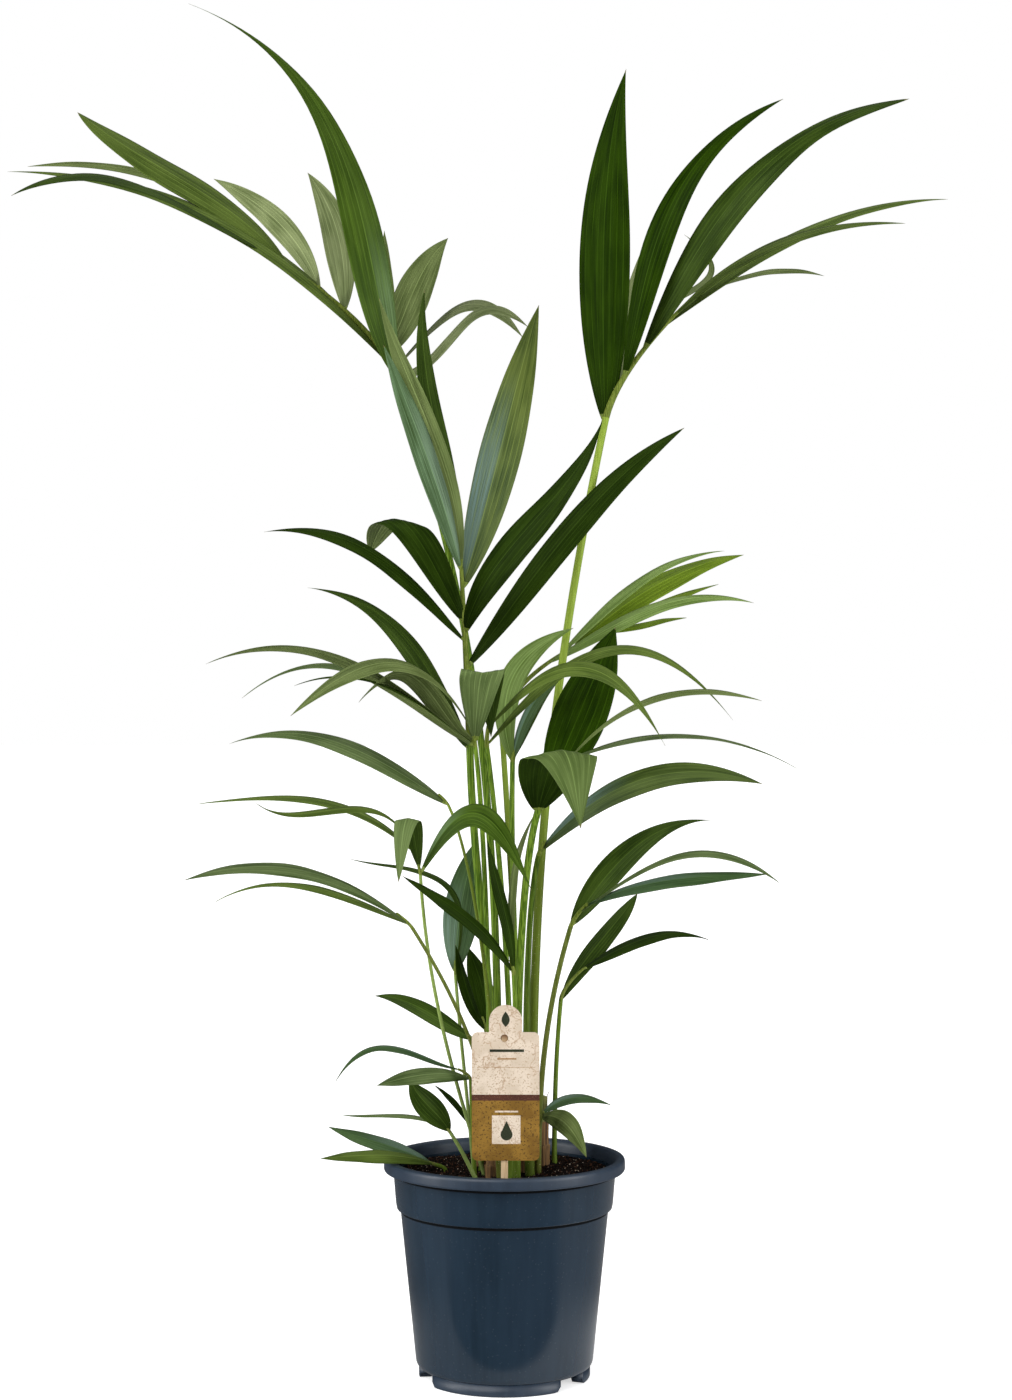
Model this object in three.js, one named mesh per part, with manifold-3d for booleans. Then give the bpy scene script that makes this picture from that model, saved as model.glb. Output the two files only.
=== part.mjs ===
// A kentia palm: a clump of young plants in one round plastic nursery pot, with a care label on a stick.
//
// Millimetres, +Z up, +X to the right, -Y to the front. The origin is the middle of the pot's flat
// underside. The clump is several seedlings. Each has a short sheathed stem, and fronds that rise round
// it. A frond is a rib with leaflets on the tip of a long stalk. The stalk and the frond are two meshes,
// parted just under the crown, where the rib goes on from the stalk. A shoot is a small frond in one mesh.
import * as THREE from "three";
import { mergeVertices } from "three/addons/utils/BufferGeometryUtils.js";
import Module from "manifold-3d";

const GAP = 0.3; // between neighbours that touch on the real plant

// ---------------------------------------------------------------- pot
const RIM_R = 105; // the rolled lip, outside
const POT_H = 190;
const LIP_H = 10.5;
const COLLAR_R = 96.5; // the straight band under the lip
const LEDGE_Z = 145; // where the collar steps in to the wall
const LEDGE_STEP = 3.5;
const WALL_TOP_R = 90.5;
const WALL_FOOT_R = 77;
const WALL = 1.9;
const FOOT_H = 10; // the drain gaps between the feet
const FOOT_R = 74.5;
const FOOT_W = 11;
const FOOT_ARC = 96; // degrees of the ring that one foot takes
const FOOT_TURN = -8; // degrees: the front foot sits a little to the left
const FLOOR_Z = 12; // the inside of the floor
const PAD_R = 31; // the flat middle of the underside
const ROUND_SEGMENTS = 48;

// ---------------------------------------------------------------- soil
const SOIL_Z = 178;
const SOIL_FLAT_R = 80; // from here the soil falls to the wall
const SOIL_EDGE_DROP = 3;

// ---------------------------------------------------------------- label
const CARD_W = 57;
const CARD_H = 108;
const CARD_CORNER = 5;
const CARD_THICK = 0.8;
const TAB_W = 28; // the round-headed tab on top of the card
const TAB_H = 23;
const CARD_X = 1;
const CARD_FRONT_Y = -76;
const CARD_LOW_Z = 200.5;
const STICK_W = 6;
const STICK_THICK = 2;
const STICK_HOLE_R = 3.2; // the stick's end shows through this hole
const STICK_TOP_Z = CARD_LOW_Z + CARD_H - 1;

// ---------------------------------------------------------------- plant
const STALK_SIDES = 6;
const STALK_STEPS = 9;
const CROWN_NECK = 10; // the frond's own mesh takes this much of the stalk, below its lowest leaflet
const SHOOT_STEPS = 5;
const RIB_STEPS = 5;
const RIB_HEADING = 0.35; // share of the rib's length that it keeps the stalk's heading
const BLADE_STEPS = 8;
const BLADE_THICK_SHARE = 0.011; // of the leaflet's length
const BLADE_KEEL = 0.2; // the midrib stands this share of the half width above the edges
const BLADE_FOOT = 0.07; // share of the full width at the leaflet's foot
const FOOT_FULLNESS = 0.85; // how slowly a leaflet widens from its foot
const TWIST_SHARES = [0.35, 0.8]; // shares of its length between which a leaflet takes its twist
const STEM_SIDES = 10;

// Short sheathed stems, one for each seedling: where it stands, its height and its two radii.
const STEMS = [
  { name: "stem_back_right", at: [33, 22], high: 62, foot: 7.5, top: 4.5 },
  { name: "stem_front_right", at: [19, -19], high: 48, foot: 7, top: 4.5 },
  { name: "stem_middle", at: [4, 6], high: 70, foot: 7.5, top: 4.5 },
  { name: "stem_front_left", at: [-11, -35], high: 40, foot: 6.5, top: 4 },
  { name: "stem_back_left", at: [-21, 21], high: 45, foot: 6.5, top: 4 },
];

// One leaflet: its place along the rib from 0 to 1, its tip from its foot as [right, back, up], how far
// it stands above its chord at one and at two thirds, its width, and its roll in degrees. A leaflet with
// no roll lies level across, one with a positive roll drops its front edge, and a negative one lifts it.
// Where it stands nearly upright, `heading` says in degrees which way in plan it arches, with 0 to the
// right and 90 to the back. `twist` is the roll that it gains by its tip, and `drawn` says how far that
// tip is drawn out: a higher number has its widest place nearer the foot.
const leaflet = (at, tip, arch, wide, roll, { heading, twist = 0, drawn = 1 } = {}) => ({
  at, tip, arch, wide, roll, heading, twist, drawn,
});

// One frond: where its stalk leaves the soil, its crown, where the leaflets start, and the end of its
// rib. `leave` and `arrive` are the stalk's handles at the soil and at the crown, and `thick` its
// diameters at the soil, at the crown and at the rib's end.
const FRONDS = [
  {
    name: "tall_left",
    foot: [-5, 14], leave: [0, 0, 276], arrive: [-80, 0, 228],
    crown: [-94, 30, 869], end: [-211, 0, 980], thick: [8, 5.5, 2.4],
    leaflets: [
      leaflet(0.03, [-166, -140, 291], [36, 53], 37, 62, { heading: 180, twist: -8, drawn: 2 }),
      leaflet(0.09, [-9, 60, 131], [0, 0], 17, -60, { heading: 180 }),
      leaflet(0.15, [53, 101, 123], [3, 6], 33, -70, { heading: 0 }),
      leaflet(0.07, [116, 140, 48], [30, 41], 22, -38, { twist: 10 }),
      leaflet(0.04, [118, 80, 54], [8, 28], 23, -40, { twist: 10 }),
      leaflet(0.47, [-40, 90, 140], [10, 11], 30, -65, { heading: 180 }),
      leaflet(0.64, [-110, 145, 127], [14, 13], 24, -62, { heading: 180 }),
      leaflet(0.84, [-180, -27, 129], [9, 3], 30, 58, { drawn: 0.8 }),
      leaflet(0.94, [-234, 107, 101], [29, 27], 16, -24),
      leaflet(0.1, [-321, -88, 152], [40, 42], 26, 40, { drawn: 1.2 }),
      leaflet(0.97, [-194, -151, 20], [24, 33], 22, 34),
    ],
  },
  {
    name: "middle",
    foot: [-6, -8], leave: [0, 0, 146], arrive: [-4, 0, 128],
    crown: [-30, -12, 543], end: [-38, -2, 708], thick: [8, 6.5, 3.5],
    leaflets: [
      leaflet(0.68, [-84, 60, 66], [45, 66], 35, 0, { heading: 90, drawn: 0.6 }),
      leaflet(0.58, [-163, -122, 87], [24, 28], 26, 50, { drawn: 1.4 }),
      leaflet(0.01, [-136, -60, 138], [22, 29], 33, 52, { drawn: 1.5 }),
      leaflet(0.62, [116, -113, 175], [8, -2], 32, 58, { heading: 0, drawn: 1.3 }),
      leaflet(0.44, [194, 69, 216], [10, 14], 25, 58, { drawn: 0.9 }),
      leaflet(0.86, [68, 104, 263], [-1, 0], 38, 82, { heading: 0 }),
      leaflet(0.96, [-33, 32, 249], [-2, -8], 21, 64, { heading: 180 }),
      leaflet(0.95, [-67, -17, 195], [4, 3], 23, 66, { heading: 180 }),
      leaflet(0.98, [-71, -9, 232], [11, 5], 22, -58, { heading: 180 }),
    ],
  },
  {
    name: "tall_right",
    foot: [25, 34], leave: [-2, 0, 262], arrive: [46, 0, 225],
    crown: [89, 50, 834], end: [175, 56, 954], thick: [9, 6.5, 2.4],
    leaflets: [
      leaflet(0.01, [21, 40, 325], [8, 11], 47, 74, { heading: 0, drawn: 1.1 }),
      leaflet(0.3, [129, -121, 220], [28, 38], 30, 58, { heading: 0, twist: -16, drawn: 0.9 }),
      leaflet(0.5, [207, -192, 179], [32, 41], 35, 60, { heading: 0, twist: -25, drawn: 0.75 }),
      leaflet(0.69, [264, 57, 125], [22, 25], 19, 32),
      leaflet(0.77, [204, -24, 79], [24, 24], 20, 34),
      leaflet(0.93, [134, 125, 41], [11, 12], 12, -24),
      leaflet(0.63, [34, 137, 114], [8, 34], 14, -30, { heading: 180 }),
      leaflet(0.19, [30, 110, 148], [2, 2], 18, -60, { heading: 0 }),
    ],
  },
  {
    name: "light_right",
    foot: [14, 27], leave: [0, 0, 150], arrive: [-4, 12, 60],
    crown: [-2, 30, 557], end: [96, 92, 652], thick: [7, 5, 2.2],
    leaflets: [
      leaflet(0.63, [153, 53, 97], [14, 18], 14, 26),
      leaflet(0.74, [163, 105, 89], [12, 13], 25, 40),
      leaflet(0.84, [131, 148, 57], [5, 5], 16, -24, { heading: 0 }),
      leaflet(0.54, [185, 0, 54], [15, 21], 17, 42),
      leaflet(0.95, [86, 141, 18], [1, 2], 16, 22, { heading: 0 }),
    ],
  },
  {
    name: "light_inner",
    foot: [16, 10], leave: [-4, 0, 140], arrive: [2, 6, 100],
    crown: [7, 14, 532], end: [17, 28, 560], thick: [6, 4.5, 3],
    leaflets: [
      leaflet(0.05, [54, 20, 118], [27, 28], 24, -68, { heading: 0 }),
      leaflet(0.05, [54, 9, 84], [10, 11], 15, 46, { heading: 0 }),
      leaflet(0.11, [83, 116, 94], [14, 19], 14, 40, { heading: 0 }),
    ],
  },
  {
    name: "dark_right",
    foot: [10, -41], leave: [0, -6, 150], arrive: [14, -6, 50],
    crown: [28, -64, 493], end: [56, -52, 539], thick: [8, 6, 3],
    leaflets: [
      leaflet(0.36, [62, 95, 141], [0, 0], 48, 74, { heading: 0 }),
      leaflet(0.02, [34, -76, -11], [46, 57], 60, 0, { heading: 270 }),
      leaflet(0.86, [160, -73, 54], [27, 27], 15, 28),
      leaflet(0.94, [217, 173, -13], [24, 24], 13, 18),
    ],
  },
  {
    name: "low_dark_right",
    foot: [22, -31], leave: [-6, 0, 110], arrive: [10, -2, 40],
    crown: [29, -36, 454], end: [34, -42, 467], thick: [9, 4.5, 3],
    leaflets: [leaflet(0.25, [180, -113, 62], [29, 30], 24, 66)],
  },
  {
    name: "right",
    foot: [29, -10], leave: [1, 4, 80], arrive: [22, -5, 75],
    crown: [57, -16, 391], end: [72, -24, 413], thick: [6, 4.2, 2.5],
    leaflets: [
      leaflet(0.06, [134, 106, 86], [21, 24], 24, 56, { drawn: 1.7 }),
      leaflet(0.5, [162, -121, 35], [28, 35], 15, 26),
      leaflet(0.84, [143, -148, 38], [9, 7], 17, 44),
    ],
  },
  {
    name: "low_right",
    foot: [44, 28], leave: [0, 8, 56], arrive: [4, 2, 40],
    crown: [50, 42, 321], end: [71, 50, 349], thick: [5, 3.8, 2.2],
    leaflets: [
      leaflet(0.01, [73, 98, 87], [3, 1], 20, 56, { heading: 0, drawn: 0.8 }),
      leaflet(0.96, [124, 130, 13], [12, 15], 14, 30),
    ],
  },
  {
    name: "left",
    foot: [-12, -12], leave: [0, -16, 150], arrive: [-8, -2, 60],
    crown: [-25, -34, 547], end: [-26, -38, 562], thick: [6, 4, 3],
    leaflets: [
      leaflet(0.32, [14, 8, 4], [57, 57], 37, 180, { heading: 90 }),
      leaflet(0.73, [-147, -124, 17], [50, 44], 21, 34),
      leaflet(0.04, [-221, -86, 70], [27, 37], 17, -26),
      leaflet(0.02, [-201, 4, 42], [30, 44], 16, 20),
      leaflet(0.17, [-150, -66, 50], [18, 24], 12, 14),
      leaflet(0.44, [-97, -46, 32], [17, 36], 22, -36),
    ],
  },
  {
    name: "inner",
    foot: [7, -7], leave: [0, 4, 140], arrive: [-12, -8, 90],
    crown: [-15, -16, 546], end: [-12, -24, 574], thick: [6, 4.2, 3],
    leaflets: [
      leaflet(0.63, [144, -140, -13], [50, 53], 18, 52, { drawn: 1.4 }),
      leaflet(0.1, [209, -43, 22], [57, 67], 16, 42, { drawn: 1.4 }),
    ],
  },
  {
    name: "single_left",
    foot: [-4, -23], leave: [-2, -22, 130], arrive: [-22, 12, 44],
    crown: [-48, -30, 497], end: [-57, -24, 507], thick: [5, 2.4, 1.8],
    leaflets: [leaflet(0.06, [-198, 90, 51], [21, 26], 19, 38, { drawn: 1.2 })],
  },
  {
    name: "low_left",
    foot: [-17, -27], leave: [-25, -12, 82], arrive: [-6, -4, 100],
    crown: [-71, -66, 439], end: [-78, -60, 461], thick: [3.6, 2.8, 2],
    leaflets: [
      leaflet(0.3, [-15, -55, -8], [39, 46], 20, 0, { heading: 270, drawn: 0.8 }),
      leaflet(0.08, [94, -32, -12], [55, 45], 25, 50, { drawn: 1.4 }),
      leaflet(0.93, [-193, 81, 37], [25, 20], 15, 18),
      leaflet(0.85, [-126, -89, 47], [24, 6], 11, 30),
    ],
  },
  {
    name: "bent_left",
    foot: [-5, -43], leave: [-2, -2, 84], arrive: [-36, -10, 58],
    crown: [-77, -74, 395], end: [-91, -80, 409], thick: [4, 3, 2.2],
    leaflets: [
      leaflet(0.18, [-175, -125, 47], [23, 24], 19, 36),
      leaflet(0.24, [-174, 75, 12], [18, 23], 12, 20),
    ],
  },
  {
    name: "shaded",
    foot: [-27, 9], leave: [-6, -4, 70], arrive: [-4, 6, 50],
    crown: [-43, 10, 347], end: [-43, 14, 360], thick: [3.6, 2.8, 2.4],
    leaflets: [
      leaflet(0.2, [19, 59, 113], [4, 4], 34, 70, { heading: 0 }),
      leaflet(0.6, [-95, 30, 92], [46, 32], 9, 20),
    ],
  },
  {
    name: "inner_low",
    foot: [4, -53], leave: [3, 0, 66], arrive: [-3, -2, 50],
    crown: [8, -58, 354], end: [5, -57, 368], thick: [5.2, 4, 2.6],
    leaflets: [
      leaflet(0.14, [-93, -34, 85], [9, 7], 17, 50),
      leaflet(0.26, [-22, -12, 113], [3, 1], 13, 52, { heading: 180 }),
      leaflet(0.71, [20, 28, 126], [8, 10], 14, -30, { heading: 0 }),
    ],
  },
  {
    name: "shaded_low",
    foot: [-9, 28], leave: [0, 0, 50], arrive: [-8, 2, 40],
    crown: [-16, 32, 293], end: [-20, 33, 308], thick: [4.4, 3.4, 2.8],
    leaflets: [
      leaflet(0.07, [-17, 28, 73], [5, 4], 23, 66, { heading: 180 }),
      leaflet(0.2, [-26, -41, 80], [-4, -3], 13, 50, { heading: 180 }),
    ],
  },
];

// Young fronds low on the clump, described in the same way.
const SHOOTS = [
  {
    name: "shoot_left",
    foot: [-21, -2], leave: [6, -10, 40], arrive: [-4, -10, 30],
    crown: [-23, -36, 292], end: [-30, -40, 300], thick: [4.2, 3.2, 2.4],
    leaflets: [leaflet(0.54, [-88, 48, 32], [4, 7], 15, 56)],
  },
  {
    name: "shoot_arched_left",
    foot: [-25, -36], leave: [-2, -4, 30], arrive: [-1, -6, 28],
    crown: [-29, -48, 264], end: [-40, -52, 274], thick: [4, 3, 2],
    leaflets: [
      leaflet(0.95, [-104, -18, -9], [17, 26], 12, 20),
      leaflet(0.08, [-75, -92, 8], [6, 5], 17, 46),
    ],
  },
  {
    name: "shoot_round_left",
    foot: [-24, -44], leave: [-6, -3, 12], arrive: [-10, -5, 16],
    crown: [-46, -58, 221], end: [-50, -58, 226], thick: [4.4, 3, 2.2],
    leaflets: [
      leaflet(0.2, [-33, -12, 46], [0, -2], 22, 72, { heading: 180 }),
      leaflet(0.5, [-93, 38, 6], [7, 4], 8, 18),
    ],
  },
  {
    name: "shoot_low_left",
    foot: [-51, -6], leave: [0, 0, 4], arrive: [-5, -2, 2],
    crown: [-60, -10, 185], end: [-68, -14, 188], thick: [3.6, 3.2, 2.6],
    leaflets: [
      leaflet(0.45, [-91, 22, 28], [2, 1], 16, 42),
      leaflet(0.16, [-93, -79, 19], [5, 4], 16, 38),
    ],
  },
  {
    name: "shoot_thin_left",
    foot: [-27, -10], leave: [1, 0, 12], arrive: [-5, -1, 9],
    crown: [-28, -10, 216], end: [-30, -11, 219], thick: [3, 2.6, 2.2],
    leaflets: [leaflet(0.5, [-32, -4, 37], [3, 3], 8, 40)],
  },
  {
    name: "shoot_low_right",
    foot: [25, 10], leave: [3, -1, 18], arrive: [1, -2, 14],
    crown: [32, 6, 223], end: [34, 2, 229], thick: [4, 3, 2.2],
    leaflets: [
      leaflet(0.5, [62, 36, 2], [10, 9], 12, 36),
      leaflet(0.15, [37, -76, -22], [11, 11], 19, 56),
    ],
  },
];

// ================================================================ meshes and booleans
const wasm = await Module();
wasm.setup();

const vector = (p) => new THREE.Vector3(p[0], p[1], p[2]);
const radians = THREE.MathUtils.degToRad;

function positionsOnly(geometry) {
  const bare = geometry.index ? geometry.toNonIndexed() : geometry.clone();
  for (const name of Object.keys(bare.attributes)) if (name !== "position") bare.deleteAttribute(name);
  return mergeVertices(bare, 1e-4);
}

function toSolid(geometry) {
  const merged = positionsOnly(geometry);
  return new wasm.Manifold(
    new wasm.Mesh({
      numProp: 3,
      vertProperties: merged.attributes.position.array,
      triVerts: new Uint32Array(merged.index.array),
    }),
  );
}

function toGeometry(solid) {
  const made = solid.getMesh();
  return new THREE.BufferGeometry()
    .setAttribute("position", new THREE.BufferAttribute(made.vertProperties, 3))
    .setIndex(new THREE.BufferAttribute(made.triVerts, 1));
}

// A closed skin through a row of rings that have the same number of points. The first ring is capped,
// and so is the last one, unless it is a single point.
function loft(rings) {
  const sides = rings[0].length;
  const points = rings.flat();
  const index = [];
  rings.slice(1).forEach((ring, k) => {
    const low = k * sides;
    const high = low + sides;
    for (let i = 0; i < sides; i++) {
      const j = (i + 1) % sides;
      if (ring.length === 1) index.push(low + i, low + j, high);
      else index.push(low + i, low + j, high + j, low + i, high + j, high + i);
    }
  });
  const cap = (from, turned) => {
    for (let i = 1; i < sides - 1; i++) {
      index.push(from, ...(turned ? [from + i + 1, from + i] : [from + i, from + i + 1]));
    }
  };
  cap(0, true);
  if (rings.at(-1).length > 1) cap((rings.length - 1) * sides, false);
  const geometry = new THREE.BufferGeometry().setFromPoints(points);
  geometry.setIndex(index);
  return geometry;
}

// A solid of a loft, turned so that its faces point outwards.
function loftSolid(rings) {
  const solid = toSolid(loft(rings));
  if (solid.volume() > 0) return solid;
  return toSolid(loft(rings.map((ring) => [...ring].reverse())));
}

// ================================================================ pot, soil and label
function lathe(profile) {
  const geometry = new THREE.LatheGeometry(
    profile.map(([r, z]) => new THREE.Vector2(r, z)),
    ROUND_SEGMENTS,
  );
  return geometry.rotateX(Math.PI / 2);
}

// The inside of the wall, from the floor to the lip: [radius, height].
const INNER_WALL = [
  [WALL_FOOT_R - WALL - 3, FLOOR_Z],
  [WALL_FOOT_R - WALL, FLOOR_Z + 5],
  [WALL_TOP_R - WALL, LEDGE_Z - 1],
  [COLLAR_R - WALL - 2.6, LEDGE_Z + LEDGE_STEP],
  [COLLAR_R - WALL, POT_H - LIP_H],
];

function potShell() {
  const lipFoot = POT_H - LIP_H;
  const outside = [
    [0, 0],
    [PAD_R, 0],
    [PAD_R + 2, FOOT_H - 1],
    [WALL_FOOT_R - 5, FOOT_H - 1],
    [WALL_FOOT_R - 1.5, FOOT_H + 1],
    [WALL_FOOT_R, FOOT_H + 4],
    [WALL_TOP_R, LEDGE_Z - 3],
    [WALL_TOP_R + 1, LEDGE_Z],
    [COLLAR_R - 2.6, LEDGE_Z + 2],
    [COLLAR_R, lipFoot - 6],
    [COLLAR_R + 0.5, lipFoot - 1],
    [RIM_R - 1, lipFoot],
    [RIM_R, lipFoot + 1],
    [RIM_R, POT_H - 2.5],
    [RIM_R - 0.8, POT_H - 0.6],
    [RIM_R - 3, POT_H],
    [COLLAR_R + 1.5, POT_H - 0.8],
    [COLLAR_R - WALL + 1, POT_H - 4],
  ];
  return lathe([...outside, ...[...INNER_WALL].reverse(), [0, FLOOR_Z]]);
}

function potFoot(middle) {
  const half = radians(FOOT_ARC / 2);
  const front = radians(middle) - Math.PI / 2;
  const outline = new THREE.Shape();
  outline.absarc(0, 0, FOOT_R, front - half, front + half, false);
  outline.absarc(0, 0, FOOT_R - FOOT_W, front + half, front - half, true);
  outline.closePath();
  return new THREE.ExtrudeGeometry(outline, { depth: FOOT_H, bevelEnabled: false, curveSegments: 12 });
}

function potGeometry() {
  let pot = toSolid(potShell());
  for (const turn of [0, 120, 240]) pot = pot.add(toSolid(potFoot(FOOT_TURN + turn)));
  return toGeometry(pot);
}

function soilGeometry() {
  const side = INNER_WALL.slice(0, 4).map(([r, z]) => [r - GAP, z + GAP]);
  return lathe([
    [0, FLOOR_Z + GAP],
    ...side,
    [COLLAR_R - WALL - GAP - 0.3, SOIL_Z - SOIL_EDGE_DROP],
    [SOIL_FLAT_R, SOIL_Z],
    [0, SOIL_Z],
  ]);
}

// The card lies in the plane y = 0 of its own mesh, with its lower edge at z = 0.
function cardGeometry() {
  const half = CARD_W / 2;
  const corner = CARD_CORNER;
  const tab = TAB_W / 2;
  const outline = new THREE.Shape();
  outline.moveTo(-half + corner, 0);
  outline.absarc(half - corner, corner, corner, -Math.PI / 2, 0, false);
  outline.absarc(half - corner, CARD_H - corner, corner, 0, Math.PI / 2, false);
  outline.lineTo(tab, CARD_H);
  outline.absarc(0, CARD_H + TAB_H - tab, tab, 0, Math.PI, false);
  outline.lineTo(-tab, CARD_H);
  outline.absarc(-half + corner, CARD_H - corner, corner, Math.PI / 2, Math.PI, false);
  outline.absarc(-half + corner, corner, corner, Math.PI, Math.PI * 1.5, false);
  const hole = new THREE.Path();
  hole.absarc(-CARD_X, STICK_TOP_Z - CARD_LOW_Z - 4, STICK_HOLE_R, 0, Math.PI * 2, true);
  outline.holes.push(hole);
  const settings = { depth: CARD_THICK, bevelEnabled: false, curveSegments: 6 };
  return positionsOnly(new THREE.ExtrudeGeometry(outline, settings).rotateX(Math.PI / 2));
}

function stickGeometry() {
  const long = STICK_TOP_Z - SOIL_Z - GAP;
  return positionsOnly(new THREE.BoxGeometry(STICK_W, STICK_THICK, long).translate(0, 0, long / 2));
}

// ================================================================ stems and fronds
function ringAround(middle, right, up, radius, sides) {
  return Array.from({ length: sides }, (_, i) => {
    const turn = (i / sides) * Math.PI * 2;
    return middle
      .clone()
      .addScaledVector(right, Math.cos(turn) * radius)
      .addScaledVector(up, Math.sin(turn) * radius);
  });
}

const RIGHT = new THREE.Vector3(1, 0, 0);
const BACK = new THREE.Vector3(0, 1, 0);
const UP = new THREE.Vector3(0, 0, 1);

// A stem tapers from its foot to its top, in three lifts, one for each old leaf sheath.
function stemGeometry({ high, foot, top }) {
  const rings = [];
  const lifts = 3;
  for (let i = 0; i < lifts; i++) {
    const low = i / lifts;
    const lip = (i + 0.94) / lifts;
    const step = (foot - top) / (lifts + 1);
    rings.push(ringAround(vector([0, 0, low * high]), RIGHT, BACK, foot - step * i, STEM_SIDES));
    rings.push(ringAround(vector([0, 0, lip * high]), RIGHT, BACK, foot - step * (i + 1), STEM_SIDES));
  }
  return loft(rings);
}

// The stalk as a cubic curve, and the rib as a quadratic one that leaves the crown the same way.
function frondCurves({ foot, leave, arrive, crown, end }) {
  const base = vector([...foot, SOIL_Z + GAP]);
  const top = vector(crown);
  const tip = vector(end);
  const heading = vector(arrive).normalize();
  const stalk = new THREE.CubicBezierCurve3(
    base,
    base.clone().add(vector(leave)),
    top.clone().sub(vector(arrive)),
    top,
  );
  const keep = top.distanceTo(tip) * RIB_HEADING;
  const rib = new THREE.QuadraticBezierCurve3(top, top.clone().addScaledVector(heading, keep), tip);
  return { stalk, rib };
}

// Rings round a curve between two shares of its length, thinning from one diameter to the next.
function tubeRings(curve, from, to, steps, diameterAt) {
  return Array.from({ length: steps + 1 }, (_, i) => {
    const share = from + ((to - from) * i) / steps;
    const along = curve.getTangentAt(share);
    const right = new THREE.Vector3().crossVectors(BACK, along).normalize();
    const up = new THREE.Vector3().crossVectors(along, right);
    return ringAround(curve.getPointAt(share), right, up, diameterAt(share) / 2, STALK_SIDES);
  });
}

function stalkRings({ stalk }, [footD, crownD], from, to, steps) {
  return tubeRings(stalk, from, to, steps, (share) => footD + (crownD - footD) * Math.sqrt(share));
}

function ribRings({ rib }, [, crownD, endD]) {
  return tubeRings(rib, 0, 1, RIB_STEPS, (share) => crownD + (endD - crownD) * share);
}

// The stalk stands on the soil with a flat foot.
function footedStalkRings(curves, thick, to, steps) {
  const foot = ringAround(curves.stalk.getPoint(0), RIGHT, BACK, thick[0] / 2, STALK_SIDES);
  return [foot, ...stalkRings(curves, thick, to / steps, to, steps - 1)];
}

// The half width of a leaflet at a share of its length, as a share of the most it gets to: a lance that
// runs out in a fine tip.
function lance(share, drawn) {
  const widest = FOOT_FULLNESS / (FOOT_FULLNESS + drawn);
  const shape = (s) => s ** FOOT_FULLNESS * (1 - s) ** drawn;
  return BLADE_FOOT * (1 - share) + (1 - BLADE_FOOT * (1 - share)) * (shape(share) / shape(widest));
}

function bladeSolid(rib, { at, tip, arch, wide, roll, heading, twist, drawn }) {
  const foot = rib.getPointAt(at);
  const chord = vector(tip);
  const plan = heading === undefined ? Math.atan2(chord.y, chord.x) : radians(heading);
  const across = new THREE.Vector3(Math.sin(plan), -Math.cos(plan), 0);
  const normalTo = (direction) => new THREE.Vector3().crossVectors(across, direction).normalize();
  const above = normalTo(chord);
  const front = across.y > 1e-6 ? across.clone().negate() : across;
  const [early, late] = arch;
  const handle = (share, lift) => foot.clone().addScaledVector(chord, share).addScaledVector(above, lift);
  const spine = new THREE.CubicBezierCurve3(
    foot,
    handle(1 / 3, 3 * early - 1.5 * late),
    handle(2 / 3, 3 * late - 1.5 * early),
    foot.clone().add(chord),
  );
  const thick = spine.getLength() * BLADE_THICK_SHARE;
  const rings = [];
  for (let i = 0; i < BLADE_STEPS; i++) {
    const t = i / BLADE_STEPS;
    const normal = normalTo(spine.getTangent(t));
    const turn = radians(roll + twist * THREE.MathUtils.smoothstep(t, ...TWIST_SHARES));
    const side = front.clone().multiplyScalar(Math.cos(turn)).addScaledVector(normal, -Math.sin(turn));
    const face = normal.clone().multiplyScalar(Math.cos(turn)).addScaledVector(front, Math.sin(turn));
    const half = (wide / 2) * lance(t, drawn);
    const keel = half * BLADE_KEEL;
    const middle = spine.getPoint(t);
    const edge = (sign) => middle.clone().addScaledVector(side, sign * half).addScaledVector(face, -keel);
    rings.push([
      edge(1),
      middle.clone().addScaledVector(face, thick / 2),
      edge(-1),
      middle.clone().addScaledVector(face, -thick / 2),
    ]);
  }
  rings.push([spine.getPoint(1)]);
  return loftSolid(rings);
}

// Leaflets on an axis. The slivers where two leaflets cross at the rib are dropped.
function leafyGeometry(axis, rib, leaflets) {
  let solid = axis;
  for (const blade of leaflets) solid = solid.add(bladeSolid(rib, blade));
  const [largest] = solid.decompose().sort((a, b) => b.volume() - a.volume());
  return toGeometry(largest);
}

function frondGeometries(frond) {
  const curves = frondCurves(frond);
  const long = curves.stalk.getLength();
  const neck = 1 - CROWN_NECK / long;
  const stalk = footedStalkRings(curves, frond.thick, neck - GAP / long, STALK_STEPS);
  const start = stalkRings(curves, frond.thick, neck, 1, 1);
  const axis = loftSolid([...start, ...ribRings(curves, frond.thick).slice(1)]);
  return { stalk: loft(stalk), frond: leafyGeometry(axis, curves.rib, frond.leaflets) };
}

function shootGeometry(shoot) {
  const curves = frondCurves(shoot);
  const stalk = footedStalkRings(curves, shoot.thick, 1, SHOOT_STEPS);
  const axis = loftSolid([...stalk, ...ribRings(curves, shoot.thick).slice(1)]);
  return leafyGeometry(axis, curves.rib, shoot.leaflets);
}

// ================================================================ the scene
const material = (color, roughness) => new THREE.MeshStandardMaterial({ color, roughness, metalness: 0 });
const potPlastic = material(0x2e4256, 0.35);
const peat = material(0x2b1d14, 0.95);
const leafGreen = material(0x2c5223, 0.45);
const stalkGreen = material(0x6f8a3c, 0.5);
const sheathBrown = material(0x6b5a34, 0.8);
const cardPrint = material(0xd9c9b0, 0.6);
const stickWood = material(0xc9a877, 0.7);

const palm = new THREE.Group();

function place(name, geometry, look, [x, y, z] = [0, 0, 0]) {
  const mesh = new THREE.Mesh(geometry, look);
  mesh.name = name;
  mesh.position.set(x, y, z);
  palm.add(mesh);
}

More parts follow.
